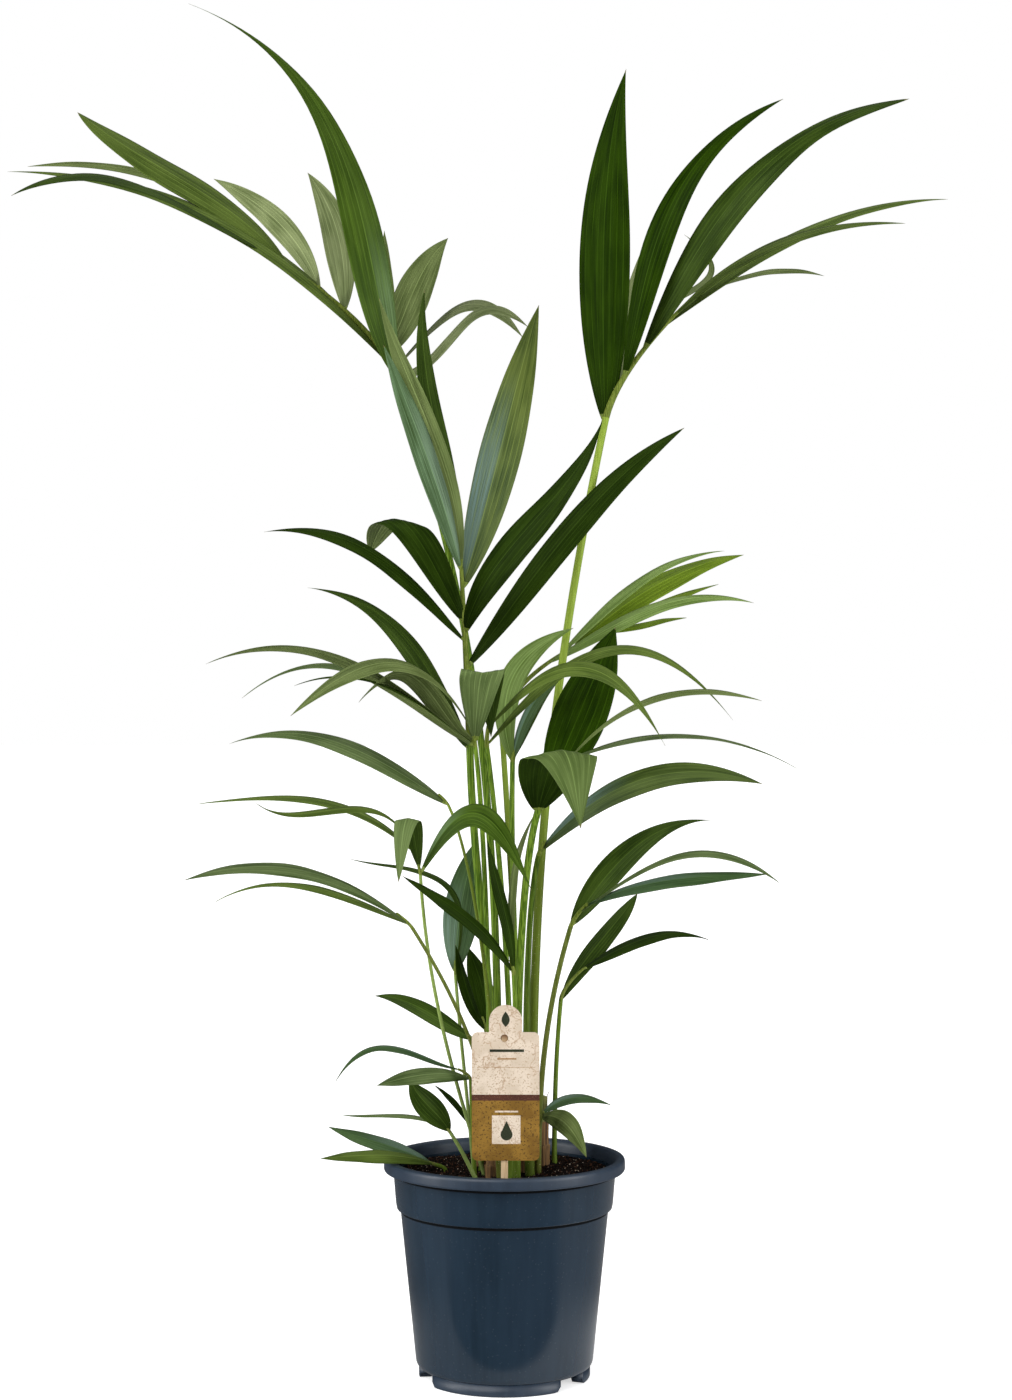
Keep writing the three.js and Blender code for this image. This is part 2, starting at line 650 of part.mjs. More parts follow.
place("pot", potGeometry(), potPlastic);
place("soil", soilGeometry(), peat);
place("label_card", cardGeometry(), cardPrint, [CARD_X, CARD_FRONT_Y, CARD_LOW_Z]);
place("label_stick", stickGeometry(), stickWood, [0, CARD_FRONT_Y + GAP + STICK_THICK / 2, SOIL_Z + GAP]);
for (const stem of STEMS) place(stem.name, stemGeometry(stem), sheathBrown, [...stem.at, SOIL_Z + GAP]);
for (const each of FRONDS) {
  const { stalk, frond } = frondGeometries(each);
  place(`stalk_${each.name}`, stalk, stalkGreen);
  place(`frond_${each.name}`, frond, leafGreen);
}
for (const shoot of SHOOTS) place(shoot.name, shootGeometry(shoot), leafGreen);

export default palm;
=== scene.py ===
# %% [markdown]
# # A potted kentia palm
# This lesson dresses a plain solid model of a young kentia palm in a nursery pot. The solid model,
# the frame, holds the true size and place of every piece: the pot, the soil, the stems, each stalk
# and each frond. It is thick and plain, because it is made for weight and collision. Here every
# piece gets its real surface: blades with folds and veins, stalks with fibres, crumbly soil and a
# glossy moulded pot. Light and finishes come first, then the fronds, and then what they stand in.
#
# Lengths are written in millimetres, as on a drawing, and the factor MM turns them into metres.

# %% Load the frame
import math
import random

import bmesh
import bpy
import numpy as np
from mathutils import Matrix, Vector


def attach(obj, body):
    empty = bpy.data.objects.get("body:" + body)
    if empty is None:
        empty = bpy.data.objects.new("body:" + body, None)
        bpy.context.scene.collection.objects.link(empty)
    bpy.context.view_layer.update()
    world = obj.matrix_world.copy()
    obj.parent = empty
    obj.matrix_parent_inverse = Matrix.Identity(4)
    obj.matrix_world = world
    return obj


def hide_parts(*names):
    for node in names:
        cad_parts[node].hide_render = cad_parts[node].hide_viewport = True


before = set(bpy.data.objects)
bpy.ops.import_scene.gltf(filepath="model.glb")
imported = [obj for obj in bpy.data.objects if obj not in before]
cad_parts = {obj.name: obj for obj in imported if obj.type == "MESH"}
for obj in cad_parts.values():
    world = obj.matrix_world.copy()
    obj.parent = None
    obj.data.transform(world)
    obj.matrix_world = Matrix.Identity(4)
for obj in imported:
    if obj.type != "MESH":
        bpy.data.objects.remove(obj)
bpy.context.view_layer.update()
MM = 0.001

# %% [markdown]
# ## Camera
# A studio puts a plant this tall in front of a level camera, about two metres away, with the lens
# near the middle of its height. A level camera keeps the pot's sides and the stalks from leaning.
# The lens follows from how many points of the frame one unit of slope covers.

# %% Camera
FRAME_HEIGHT = 1400
FOCAL_POINTS = 2524
SENSOR = 36
CAMERA_PLACE = (1.3, -2200, 588)


def add_object(name, data):
    """Puts an object made of that data into the scene."""
    thing = bpy.data.objects.new(name, data)
    bpy.context.scene.collection.objects.link(thing)
    return thing


def add_camera():
    """Adds a level camera that looks along +Y at the plant."""
    data = bpy.data.cameras.new("camera")
    data.sensor_fit = "AUTO"
    data.sensor_width = SENSOR
    data.lens = FOCAL_POINTS * SENSOR / FRAME_HEIGHT
    camera = add_object("camera", data)
    camera.location = Vector(CAMERA_PLACE) * MM
    camera.rotation_euler = (math.radians(90), 0, 0)
    bpy.context.scene.camera = camera
    return camera


camera = add_camera()
print("camera lens", round(camera.data.lens, 2), "mm")

# %% [markdown]
# ## Node helpers
# A material is a small tree of nodes, and a few kinds come back all the time: a value stretched
# between two limits, two values joined by a sum, a place split into its three parts. Each gets a short
# function here, so that a finish later reads like a recipe.

# %% Node helpers
FALLING = (1.0, 0.0)


def add_node(tree, kind, **settings):
    """Adds a shader node of that kind and sets its named properties."""
    node = tree.nodes.new("ShaderNode" + kind)
    for key, value in settings.items():
        setattr(node, key, value)
    return node


def remap(tree, value, low, high, to_low=0.0, to_high=1.0):
    """Stretches a value between two limits, with a soft start and a soft end."""
    node = add_node(tree, "MapRange", interpolation_type="SMOOTHSTEP")
    limits = {"From Min": low, "From Max": high, "To Min": to_low, "To Max": to_high}
    for label, limit in limits.items():
        node.inputs[label].default_value = limit
    tree.links.new(value, node.inputs["Value"])
    return node.outputs["Result"]


def join_values(tree, operation, first, second=0.0):
    """A Math node of two sockets, or of a socket and a number."""
    node = add_node(tree, "Math", operation=operation)
    tree.links.new(first, node.inputs[0])
    if isinstance(second, (int, float)):
        node.inputs[1].default_value = second
    else:
        tree.links.new(second, node.inputs[1])
    return node.outputs[0]


def times(tree, first, second):
    """A socket times another socket or a number."""
    return join_values(tree, "MULTIPLY", first, second)


def place_in_space(tree):
    """The place of each point of a piece, in metres."""
    return add_node(tree, "TexCoord").outputs["Object"]


def parts_of(tree, vector):
    """The three parts of a place."""
    node = add_node(tree, "SeparateXYZ")
    tree.links.new(vector, node.inputs[0])
    return node.outputs


def start_finish(name, roughness, specular):
    """A new material and its Principled shader."""
    finish = bpy.data.materials.new(name)
    finish.use_nodes = True
    shader = finish.node_tree.nodes["Principled BSDF"]
    shader.inputs["Roughness"].default_value = roughness
    shader.inputs["Specular IOR Level"].default_value = specular
    return finish, finish.node_tree, shader


print("a falling value goes from", FALLING[0], "to", FALLING[1])

# %% [markdown]
# ## Light and floor
# Plants are shot on a white sweep between soft boxes, so that dark leaves stand out with no hard
# shadows. Wide suns do this evenly over the whole plant. Two tall soft boxes at the sides draw the
# upright bands of light on the glossy pot. The sky is white where the camera sees it and dim
# everywhere else, and dimmest in reflections, as in a studio whose own walls are dark: that keeps the
# gloss on pot and leaves deep.

# %% Sky and lights
SKY_LIGHT = 0.34
SKY_GLOSS = 0.05
PLANT_MIDDLE = (0, 0, 500)


def add_sky():
    """White for the camera, dim for what lights the plant."""
    world = bpy.data.worlds.new("sweep")
    bpy.context.scene.world = world
    world.use_nodes = True
    tree = world.node_tree
    ray = add_node(tree, "LightPath")
    lit = remap(tree, ray.outputs["Is Glossy Ray"], 0, 1, SKY_LIGHT, SKY_GLOSS)
    seen = join_values(tree, "MAXIMUM", ray.outputs["Is Camera Ray"], lit)
    sky = tree.nodes["Background"]
    sky.inputs["Color"].default_value = (1, 1, 1, 1)
    tree.links.new(seen, sky.inputs["Strength"])


def add_light(name, kind, place, target, **settings):
    """A light of that kind, turned so that it shines at the target."""
    data = bpy.data.lights.new(name, kind)
    for key, value in settings.items():
        setattr(data, key, value)
    light = add_object(name, data)
    light.location = Vector(place) * MM
    way = Vector(target) * MM - light.location
    light.rotation_euler = way.to_track_quat("-Z", "Y").to_euler()


def add_sun(name, place, strength, softness):
    """A sun is even over the whole plant; softness is its width in degrees."""
    add_light(name, "SUN", place, PLANT_MIDDLE, energy=strength, angle=math.radians(softness))


def add_soft_box(name, place, size, power):
    """A tall glowing panel beside the plant."""
    wide, high = size[0] * MM, size[1] * MM
    level = (0, 0, place[2])
    add_light(name, "AREA", place, level, shape="RECTANGLE", size=wide, size_y=high, energy=power)


add_sky()
add_sun("key_sun", (-1500, -2400, 2600), 1.7, 50)
add_sun("fill_sun", (2200, -1700, 1500), 0.7, 60)
add_sun("top_sun", (300, 600, 3000), 0.6, 70)
add_soft_box("box_left", (-1500, -500, 600), (300, 1500), 16)
add_soft_box("box_right", (1500, -700, 600), (500, 1500), 14)
bpy.context.scene.view_settings.view_transform = "Standard"

# %% [markdown]
# ## Floor
# The floor glows a little for the camera alone, which turns it into the same white as the sweep and
# still lets a soft shadow show. A glossy pot mirrors its floor, and its blue would go grey. So in
# mirrored light the floor in front is dark, like a studio behind the camera, and the floor at the
# sides is dimmer the further off it is, and dimmer on the left.

# %% Floor
FLOOR_HALF = 30000
FLOOR_GLOW = 0.62
FLOOR_WHITE = (0.8, 0.8, 0.8, 1)
FLOOR_DARK = (0.03, 0.03, 0.035, 1)
FRONT_EDGE = (118, 132)
FRONT_SLOPE = (1.3, 1.95)
SIDE_FLOOR = (150, 330)
FAR_SHARE = 0.3
MIDDLE_BLEND = 80
LEFT_SHARE = 0.45


def mirrored_floor(tree):
    """How much of the floor's white shows in a mirror at each place."""
    place = place_in_space(tree)
    x, y = parts_of(tree, place)[:2]
    ahead = remap(tree, y, -FRONT_EDGE[1] * MM, -FRONT_EDGE[0] * MM)
    slant = join_values(tree, "ABSOLUTE", join_values(tree, "DIVIDE", x, y))
    beside = remap(tree, slant, *FRONT_SLOPE)
    reach = add_node(tree, "VectorMath", operation="LENGTH")
    tree.links.new(place, reach.inputs[0])
    away = remap(tree, reach.outputs["Value"], SIDE_FLOOR[0] * MM, SIDE_FLOOR[1] * MM, 1.0, FAR_SHARE)
    right = remap(tree, x, -MIDDLE_BLEND * MM, MIDDLE_BLEND * MM, LEFT_SHARE, 1.0)
    return times(tree, times(tree, join_values(tree, "MAXIMUM", ahead, beside), away), right)


def paint_floor():
    """White paint that glows for the camera and is dark in a mirror."""
    finish, tree, shader = start_finish("floor_paint", 0.9, 0.1)
    shader.inputs["Emission Color"].default_value = (1, 1, 1, 1)
    ray = add_node(tree, "LightPath")
    glow = times(tree, ray.outputs["Is Camera Ray"], FLOOR_GLOW)
    tree.links.new(glow, shader.inputs["Emission Strength"])
    dimming = times(tree, join_values(tree, "SUBTRACT", mirrored_floor(tree), 1.0), -1.0)
    tone = add_node(tree, "Mix", data_type="RGBA")
    tone.inputs[6].default_value = FLOOR_WHITE
    tone.inputs[7].default_value = FLOOR_DARK
    tree.links.new(times(tree, dimming, ray.outputs["Is Glossy Ray"]), tone.inputs["Factor"])
    tree.links.new(tone.outputs[2], shader.inputs["Base Color"])
    return finish


def add_floor():
    """A plain pale floor that reaches past what the camera sees."""
    mesh = bpy.data.meshes.new("floor")
    edge = FLOOR_HALF * MM
    corners = [(-edge, -edge, 0), (edge, -edge, 0), (edge, edge, 0), (-edge, edge, 0)]
    mesh.from_pydata(corners, [], [(0, 1, 2, 3)])
    mesh.materials.append(paint_floor())
    floor = add_object("floor", mesh)
    return floor


floor = add_floor()
print("floor:", 2 * FLOOR_HALF / 1000, "m wide, in", floor.data.materials[0].name)

# %% [markdown]
# ## Shader groups
# Four effects come back on many pieces, so each is built once as a node group with named inputs and
# outputs. *Leaf veins* draws the fine lines that run along a palm blade, from a map that counts
# millimetres across and along the blade. *Blade shading* tells edge, foot and painted sheen apart,
# from a map of shares across and along it: the sheen is a reflection of light painted into the colour,
# and the foot is where a blade gets painted shade. *Long fibres* draws the threads of a stalk or of
# wood, from the place in space, stretched upright. *Fine grain* is the small unevenness of plastic,
# card and soil. A group only puts out masks and heights; each material decides what to do with them.

# %% Starting and ending a group
NOISE_LIMITS = (0.3, 0.7)
SOFT_LIMITS = (0.35, 0.65)


def start_group(name, **numbers):
    """An empty node group that takes a place and some numbers; also returns its inputs."""
    group = bpy.data.node_groups.new(name, "ShaderNodeTree")
    group.interface.new_socket("Vector", in_out="INPUT", socket_type="NodeSocketVector")
    for label, value in numbers.items():
        socket = group.interface.new_socket(label, in_out="INPUT", socket_type="NodeSocketFloat")
        socket.default_value = value
    return group, group.nodes.new("NodeGroupInput").outputs


def end_group(group, **results):
    """Gives a group one named output for each result."""
    for label in results:
        group.interface.new_socket(label, in_out="OUTPUT", socket_type="NodeSocketFloat")
    end = group.nodes.new("NodeGroupOutput")
    for label, result in results.items():
        group.links.new(result, end.inputs[label])
    return group


def stretched_noise(tree, vector, stretch, detail=3.0):
    """Noise drawn out by scaling its coordinates unevenly."""
    scaling = add_node(tree, "VectorMath", operation="MULTIPLY")
    scaling.inputs[1].default_value = stretch
    noise = add_node(tree, "TexNoise")
    noise.inputs["Scale"].default_value = 1
    noise.inputs["Detail"].default_value = detail
    tree.links.new(vector, scaling.inputs[0])
    tree.links.new(scaling.outputs[0], noise.inputs["Vector"])
    return noise.outputs["Fac"]


print("noise is spread from", NOISE_LIMITS, "or from", SOFT_LIMITS)

# %% Groups for blades
STREAK_STRETCH = (2.2, 0.012, 1)
BAND_STRETCH = (0.45, 0.006, 1)
CLOUD_STRETCH = (0.09, 0.02, 1)
RIDGE_PACE = 3.6
STREAK_HEIGHT = 0.6
VEIN_LINES = 8
OTHER_HALF_PAINTED_SHEEN = 0.12


def build_leaf_veins():
    """Lines along a blade. Vector counts millimetres across (x) and along (y)."""
    group, start = start_group("Leaf veins")
    place = start["Vector"]
    across = parts_of(group, place)[0]
    streak = remap(group, stretched_noise(group, place, STREAK_STRETCH), *NOISE_LIMITS)
    bands = remap(group, stretched_noise(group, place, BAND_STRETCH, 1.5), *SOFT_LIMITS)
    clouds = remap(group, stretched_noise(group, place, CLOUD_STRETCH, 1.0), 0.36, 0.64)
    midrib = remap(group, join_values(group, "ABSOLUTE", across), 0.15, 0.75, *FALLING)
    ridges = join_values(group, "SINE", times(group, across, RIDGE_PACE))
    height = join_values(group, "ADD", times(group, streak, STREAK_HEIGHT), ridges)
    return end_group(group, Streak=streak, Bands=bands, Clouds=clouds, Midrib=midrib, Height=height)


def build_blade_shading():
    """Where on a blade a place lies. Vector is its share across (x) and along (y)."""
    group, start = start_group("Blade shading", Reach=0.7)
    across, along = parts_of(group, start["Vector"])[:2]
    off_middle = join_values(group, "ABSOLUTE", join_values(group, "SUBTRACT", across, 0.5))
    edge = remap(group, off_middle, 0.45, 0.5)
    # The foot mask marks where a blade gets painted shade, darker toward the crown.
    foot = remap(group, along, 0.0, 0.3, *FALLING)
    # The next masks place a painted sheen: a lit patch low on the blade, strongest on one half.
    rising = remap(group, along, 0.02, 0.2)
    fading = remap(group, join_values(group, "DIVIDE", along, start["Reach"]), 0.5, 1.0, *FALLING)
    half = remap(group, across, 0.4, 0.56, 1.0, OTHER_HALF_PAINTED_SHEEN)
    painted_sheen = times(group, times(group, rising, fading), half)
    off_line = join_values(group, "PINGPONG", times(group, across, VEIN_LINES), 0.5)
    patchy = remap(group, stretched_noise(group, start["Vector"], (VEIN_LINES, 5, 1)), 0.35, 0.6)
    lines = times(group, remap(group, off_line, 0.03, 0.09, *FALLING), patchy)
    return end_group(group, Edge=edge, Foot=foot, Shine=painted_sheen, Lines=lines)


GROUPS = {"veins": build_leaf_veins(), "shading": build_blade_shading()}
print("groups:", [group.name for group in GROUPS.values()])

# %% Groups for fibres and grain
THREAD_STRETCH = (1, 1, 0.03)
BLOTCH_STRETCH = (0.12, 0.12, 0.04)
GRAIN_DETAIL = 4
SPECK_LIMITS = (0.08, 0.2)


def build_long_fibres():
    """Upright threads. Vector is the place in metres; Fineness is threads for each metre."""
    group, start = start_group("Long fibres", Fineness=900.0)
    scaling = add_node(group, "VectorMath", operation="SCALE")
    group.links.new(start["Vector"], scaling.inputs[0])
    group.links.new(start["Fineness"], scaling.inputs["Scale"])
    streak = remap(group, stretched_noise(group, scaling.outputs[0], THREAD_STRETCH), *NOISE_LIMITS)
    blotch = remap(group, stretched_noise(group, scaling.outputs[0], BLOTCH_STRETCH), *SOFT_LIMITS)
    return end_group(group, Streak=streak, Blotch=blotch)


def build_fine_grain():
    """Small even grain and sparse specks. Scale is grains for each metre."""
    group, start = start_group("Fine grain", Scale=1500.0)
    grain = add_node(group, "TexNoise")
    grain.inputs["Detail"].default_value = GRAIN_DETAIL
    cells = add_node(group, "TexVoronoi")
    for texture in (grain, cells):
        for label in ("Vector", "Scale"):
            group.links.new(start[label], texture.inputs[label])
    specks = remap(group, cells.outputs["Distance"], *SPECK_LIMITS, *FALLING)
    return end_group(group, Grain=grain.outputs["Fac"], Specks=specks)


GROUPS["fibres"] = build_long_fibres()
GROUPS["grain"] = build_fine_grain()
print("groups:", [group.name for group in GROUPS.values()])

# %% [markdown]
# ## Helpers for finishes
# Paint charts give colours as three numbers up to 255, but a shader wants light in proportion, so a
# small function turns one into the other. Every finish starts with a new material and one of the
# groups above placed beside its shader, and ends with the mixed tone and a height given to the shader.

# %% Helpers for finishes
def paint(red, green, blue):
    """A chart colour of 0 to 255 as the shader's own linear colour."""
    linear = []
    for part in (red, green, blue):
        share = part / 255
        linear.append(share / 12.92 if share <= 0.04045 else ((share + 0.055) / 1.055) ** 2.4)
    return (*linear, 1.0)


def place_group(tree, key, vector, **values):
    """Puts a shared group in a material, sets its inputs and returns its outputs."""
    node = add_node(tree, "Group")
    node.node_tree = GROUPS[key]
    tree.links.new(vector, node.inputs["Vector"])
    for label, value in values.items():
        node.inputs[label].default_value = value
    return node.outputs


def mix_colours(tree, share, first, second):
    """A mix of two colours, each a chart colour or a socket."""
    node = add_node(tree, "Mix", data_type="RGBA")
    tree.links.new(share, node.inputs["Factor"])
    for socket, colour in ((node.inputs[6], first), (node.inputs[7], second)):
        if isinstance(colour, tuple):
            socket.default_value = paint(*colour)
        else:
            tree.links.new(colour, socket)
    return node.outputs[2]


def cover(tree, shader, tone, height, depth):
    """Gives the shader its colour and a relief whose depth is in millimetres."""
    tree.links.new(tone, shader.inputs["Base Color"])
    bump = add_node(tree, "Bump")
    bump.inputs["Strength"].default_value = 1.0
    bump.inputs["Distance"].default_value = depth * MM
    tree.links.new(height, bump.inputs["Height"])
    tree.links.new(bump.outputs["Normal"], shader.inputs["Normal"])


print("pure white reads", paint(255, 255, 255))

# %% [markdown]
# ## Leaf finishes
# A kentia blade is deep green and waxy above and paler and duller below. Leaves of one plant differ:
# young ones are lime, shaded ones blue green, and a few turn olive. That variety is what keeps the
# plant from looking cast in one mould. So there is one finish for each tint, all made by one
# function: long clouds and fine streaks mix a deep and a light tone, a thin paler midrib runs down
# the middle, the edges are thin and pale, partly the blade's own margin and partly a painted highlight
# where light catches the rim, and a low relief of veins breaks up the gloss. Some tints carry a streaky
# painted sheen on one half, a reflection of light painted into the colour, and every blade gets
# painted shade toward its foot. The foot of each blade is a yellow-green cushion, and its very end is
# dry.

# %% Leaf finishes
GREEN_WAX = (0.78, 1.0, 0.5, 1.0)
VEIN_RELIEF = 0.035
CLOUD_SHARE = 0.6
BAND_SHARE = 0.4
STREAK_SHARE = 0.25
FURROW_SHARE = 0.45
FOOT_SHADE = 0.5
LINE_SHARE = 0.5
MIDRIB_SHARE = 0.4
EDGE_AND_HIGHLIGHT_SHARE = 0.4
PAINTED_SHEEN_STREAKS = (0.25, 0.85)
DUSK = 0.72
PALER = 1.25
PALE_LIFT = 12


def leaf_finish(name, deep, light, roughness, specular, painted_sheen=None, reach=0.7):
    """One tint of blade: its deep and light tone, and the tone and reach of its painted sheen."""
    finish, tree, shader = start_finish("leaf_" + name, roughness, specular)
    shader.inputs["Specular Tint"].default_value = GREEN_WAX
    maps = {name: add_node(tree, "UVMap", uv_map=name).outputs["UV"] for name in ("Veins", "Share")}
    veins = place_group(tree, "veins", maps["Veins"])
    blade = place_group(tree, "shading", maps["Share"], Reach=reach)
    dusk = tuple(part * DUSK for part in deep)
    pale = tuple(min(255, part * PALER + PALE_LIFT) for part in light)
    clouds = times(tree, veins["Clouds"], CLOUD_SHARE)
    bands = times(tree, veins["Bands"], BAND_SHARE)
    layers = [
        (times(tree, veins["Streak"], STREAK_SHARE), light),
        (remap(tree, veins["Streak"], 0.0, 0.35, FURROW_SHARE, 0.0), dusk),
        # Painted shade: each blade darkens toward its foot, as in the shade of the crown.
        (times(tree, blade["Foot"], FOOT_SHADE), dusk),
    ]
    # Painted sheen: a streaky reflection of light painted into the blade's colour.
    if painted_sheen is not None:
        streaky = remap(tree, veins["Streak"], 0.0, 1.0, *PAINTED_SHEEN_STREAKS)
        layers.append((times(tree, blade["Shine"], streaky), painted_sheen))
    layers.append((times(tree, blade["Lines"], LINE_SHARE), pale))
    layers.append((times(tree, veins["Midrib"], MIDRIB_SHARE), pale))
    # Pale edges: partly the blade's own margin, partly a painted highlight where light catches the rim.
    layers.append((times(tree, blade["Edge"], EDGE_AND_HIGHLIGHT_SHARE), pale))
    tone = mix_colours(tree, join_values(tree, "ADD", clouds, bands), deep, light)
    for share, colour in layers:
        tone = mix_colours(tree, share, tone, colour)
    gloss = remap(tree, veins["Streak"], 0, 1, roughness - 0.04, roughness + 0.06)
    tree.links.new(gloss, shader.inputs["Roughness"])
    cover(tree, shader, tone, veins["Height"], VEIN_RELIEF)
    return finish


print("a blade's relief is", VEIN_RELIEF, "mm deep")

# %% Leaf tones and tints
# Each tone: deep and light colour, roughness and specular; some add the colour and the reach of a
# painted sheen, a reflection of light painted into the blade.
LEAF_TONES = {
    "rich": ((16, 35, 0), (38, 62, 2), 0.42, 0.05),
    "dark": ((17, 33, 2), (37, 56, 8), 0.42, 0.05),
    "mid": ((29, 47, 6), (56, 76, 22), 0.42, 0.1),
    "bright": ((38, 60, 4), (68, 92, 26), 0.42, 0.1, (112, 138, 96), 0.42),
    "lime": ((72, 94, 8), (106, 130, 30), 0.42, 0.16),
    "blue": ((32, 54, 22), (58, 82, 46), 0.38, 0.28, (104, 128, 116), 0.7),
    "haze_sheen": ((44, 68, 26), (92, 118, 84), 0.42, 0.2, (126, 148, 130), 0.8),
    "frost_sheen": ((48, 64, 16), (92, 106, 46), 0.38, 0.22, (108, 134, 136), 0.72),
    "sheen": ((38, 54, 14), (72, 88, 38), 0.38, 0.22, (112, 138, 136), 0.5),
    "olive": ((54, 72, 20), (88, 106, 44), 0.44, 0.14),
    "dusty": ((52, 70, 30), (92, 108, 66), 0.44, 0.18),
    "pale": ((84, 108, 44), (122, 146, 80), 0.46, 0.2),
    "under_green": ((66, 84, 36), (92, 110, 58), 0.52, 0.2),
    "under_olive": ((72, 86, 40), (106, 120, 70), 0.52, 0.2),
    "under_pale": ((84, 97, 54), (130, 141, 96), 0.52, 0.2),
    "under_grey": ((72, 90, 46), (100, 118, 68), 0.52, 0.2),
}
LEAF_FINISHES = {name: leaf_finish(name, *tone) for name, tone in LEAF_TONES.items()}

# Each tint names the finish of the blade's upper side and of its under side.
TINTS = {
    "rich": ("rich", "under_green"),
    "dark": ("dark", "under_green"),
    "mid": ("mid", "under_olive"),
    "bright": ("bright", "under_olive"),
    "lime": ("lime", "lime"),
    "blue": ("blue", "under_green"),
    "haze_sheen": ("haze_sheen", "under_olive"),
    "frost_sheen": ("frost_sheen", "under_olive"),
    "sheen": ("sheen", "under_olive"),
    "olive": ("olive", "under_olive"),
    "dusty": ("dusty", "under_olive"),
    "pale": ("pale", "pale"),
    "soft": ("under_olive", "under_olive"),
    "under": ("mid", "under_olive"),
    "under_light": ("mid", "under_pale"),
    "fold": ("under_green", "dark"),
    "fold_grey": ("mid", "under_grey"),
    "fold_soft": ("under_grey", "mid"),
    "dark_fold": ("dark", "under_olive"),
}


def plain_plant_finish(name, deep, light, roughness, fineness):
    """Fibrous plant matter that is not a blade."""
    finish, tree, shader = start_finish(name, roughness, 0.3)
    fibres = place_group(tree, "fibres", place_in_space(tree), Fineness=fineness)
    tone = mix_colours(tree, fibres["Streak"], deep, light)
    cover(tree, shader, tone, fibres["Streak"], 0.15)
    return finish


LEAF_FOOT = plain_plant_finish("leaf_foot", (84, 102, 26), (124, 140, 56), 0.5, 1500)
LEAF_TIP = plain_plant_finish("leaf_tip", (84, 84, 44), (120, 116, 72), 0.7, 1500)
print("leaf finishes:", len(LEAF_FINISHES), "tints:", len(TINTS))

# %% [markdown]
# ## Stalk and sheath finishes
# A stalk is the long stiff part of the frond that carries no blades. It is fresh green at the top,
# and older and browner toward the soil, where the wrapped sheaths of the stems are fibrous and dry.
# The place in space gives both: height sets the mix of green and brown, and stretched noise the
# threads. A little pale scurf, a real scale that palms shed, dots the lower part. Two stalks of this
# plant are lime at the top and turn dark lower down, so they age between heights of their own.

# %% Stalk and sheath finishes
AGEING_Z = (190, 420)
LIME_AGEING_Z = (440, 560)
AGE_SHARE = 0.7
STALK_FINENESS = 1100
SCURF_SCALE = 420
SCURF = (196, 186, 150)


def stalk_finish(name, deep, light, foot, ageing=AGEING_Z, thread=(0.1, 0.9)):
    """Green stalk whose tone goes over into that of its foot toward the soil."""
    finish, tree, shader = start_finish("stalk_" + name, 0.42, 0.2)
    shader.inputs["Specular Tint"].default_value = GREEN_WAX
    place = place_in_space(tree)
    fibres = place_group(tree, "fibres", place, Fineness=STALK_FINENESS)
    grain = place_group(tree, "grain", place, Scale=SCURF_SCALE)
    height = parts_of(tree, place)[2]
    age = times(tree, remap(tree, height, ageing[0] * MM, ageing[1] * MM, *FALLING), AGE_SHARE)
    strand = remap(tree, fibres["Streak"], 0.2, 0.8, *thread)
    tone = mix_colours(tree, strand, deep, light)
    tone = mix_colours(tree, age, tone, foot)
    scurf = times(tree, grain["Specks"], fibres["Blotch"])
    tone = mix_colours(tree, times(tree, scurf, age), tone, SCURF)
    cover(tree, shader, tone, fibres["Streak"], 0.05)
    return finish


STALK_TONES = {
    "green": ((56, 86, 10), (112, 140, 44), (92, 110, 38)),
    "lime": ((118, 142, 40), (148, 170, 70), (62, 74, 14), LIME_AGEING_Z, (0.4, 0.8)),
    "pale": ((108, 130, 56), (142, 164, 88), (124, 142, 82), AGEING_Z, (0.3, 0.8)),
    "olive": ((70, 84, 26), (106, 116, 52), (94, 98, 42)),
    "dark": ((46, 70, 8), (86, 110, 30), (78, 90, 32)),
    "rib": ((80, 96, 28), (118, 130, 54), (104, 108, 56)),
}
STALK_FINISHES = {name: stalk_finish(name, *tone) for name, tone in STALK_TONES.items()}
SHEATH = plain_plant_finish("sheath_dry", (66, 46, 26), (134, 102, 62), 0.75, 700)
SHEATH_GREEN = plain_plant_finish("sheath_green", (78, 82, 34), (124, 124, 64), 0.6, 800)
print("stalk finishes:", list(STALK_FINISHES))

# %% [markdown]
# ## Curves
# A stalk is a gentle arc, which is what a Bezier curve of four points draws. Its foot stands in the
# soil, it leaves in one direction, and it arrives at the crown in another. The rib, the thinner part
# that carries the blades, goes on from there. A curve object could be bevelled into a tube, but then
# its rings could not be counted on when blades are set on it, so the curves are sampled by hand.

# %% Curves
FINE_STEPS = 200


def unit(vector):
    """The vector at length one."""
    return vector / np.linalg.norm(vector)


def bezier(corners, shares):
    """Points of a Bezier curve of any order at the given shares."""
    blend = np.asarray(shares, float)[:, None]
    row = [np.tile(np.asarray(corner, float), (len(blend), 1)) for corner in corners]
    while len(row) > 1:
        row = [a + (b - a) * blend for a, b in zip(row, row[1:])]
    return row[0]


def along_curve(corners, shares):
    """Points at shares of a curve's length, so that steps are even."""
    fine = bezier(corners, np.linspace(0, 1, FINE_STEPS))
    steps = np.linalg.norm(np.diff(fine, axis=0), axis=1)
    run = np.concatenate([[0], np.cumsum(steps)])
    wanted = np.asarray(shares, float) * run[-1]
    return np.stack([np.interp(wanted, run, fine[:, axis]) for axis in range(3)], axis=1)


def directions(points):
    """The unit direction at each point of a run of points."""
    slopes = np.gradient(points, axis=0)
    return slopes / np.linalg.norm(slopes, axis=1)[:, None]


half_way = along_curve([(0, 0, 0), (0, 0, 10), (10, 0, 10)], [0.5])[0]
print("half way along an arc:", half_way.round(2))

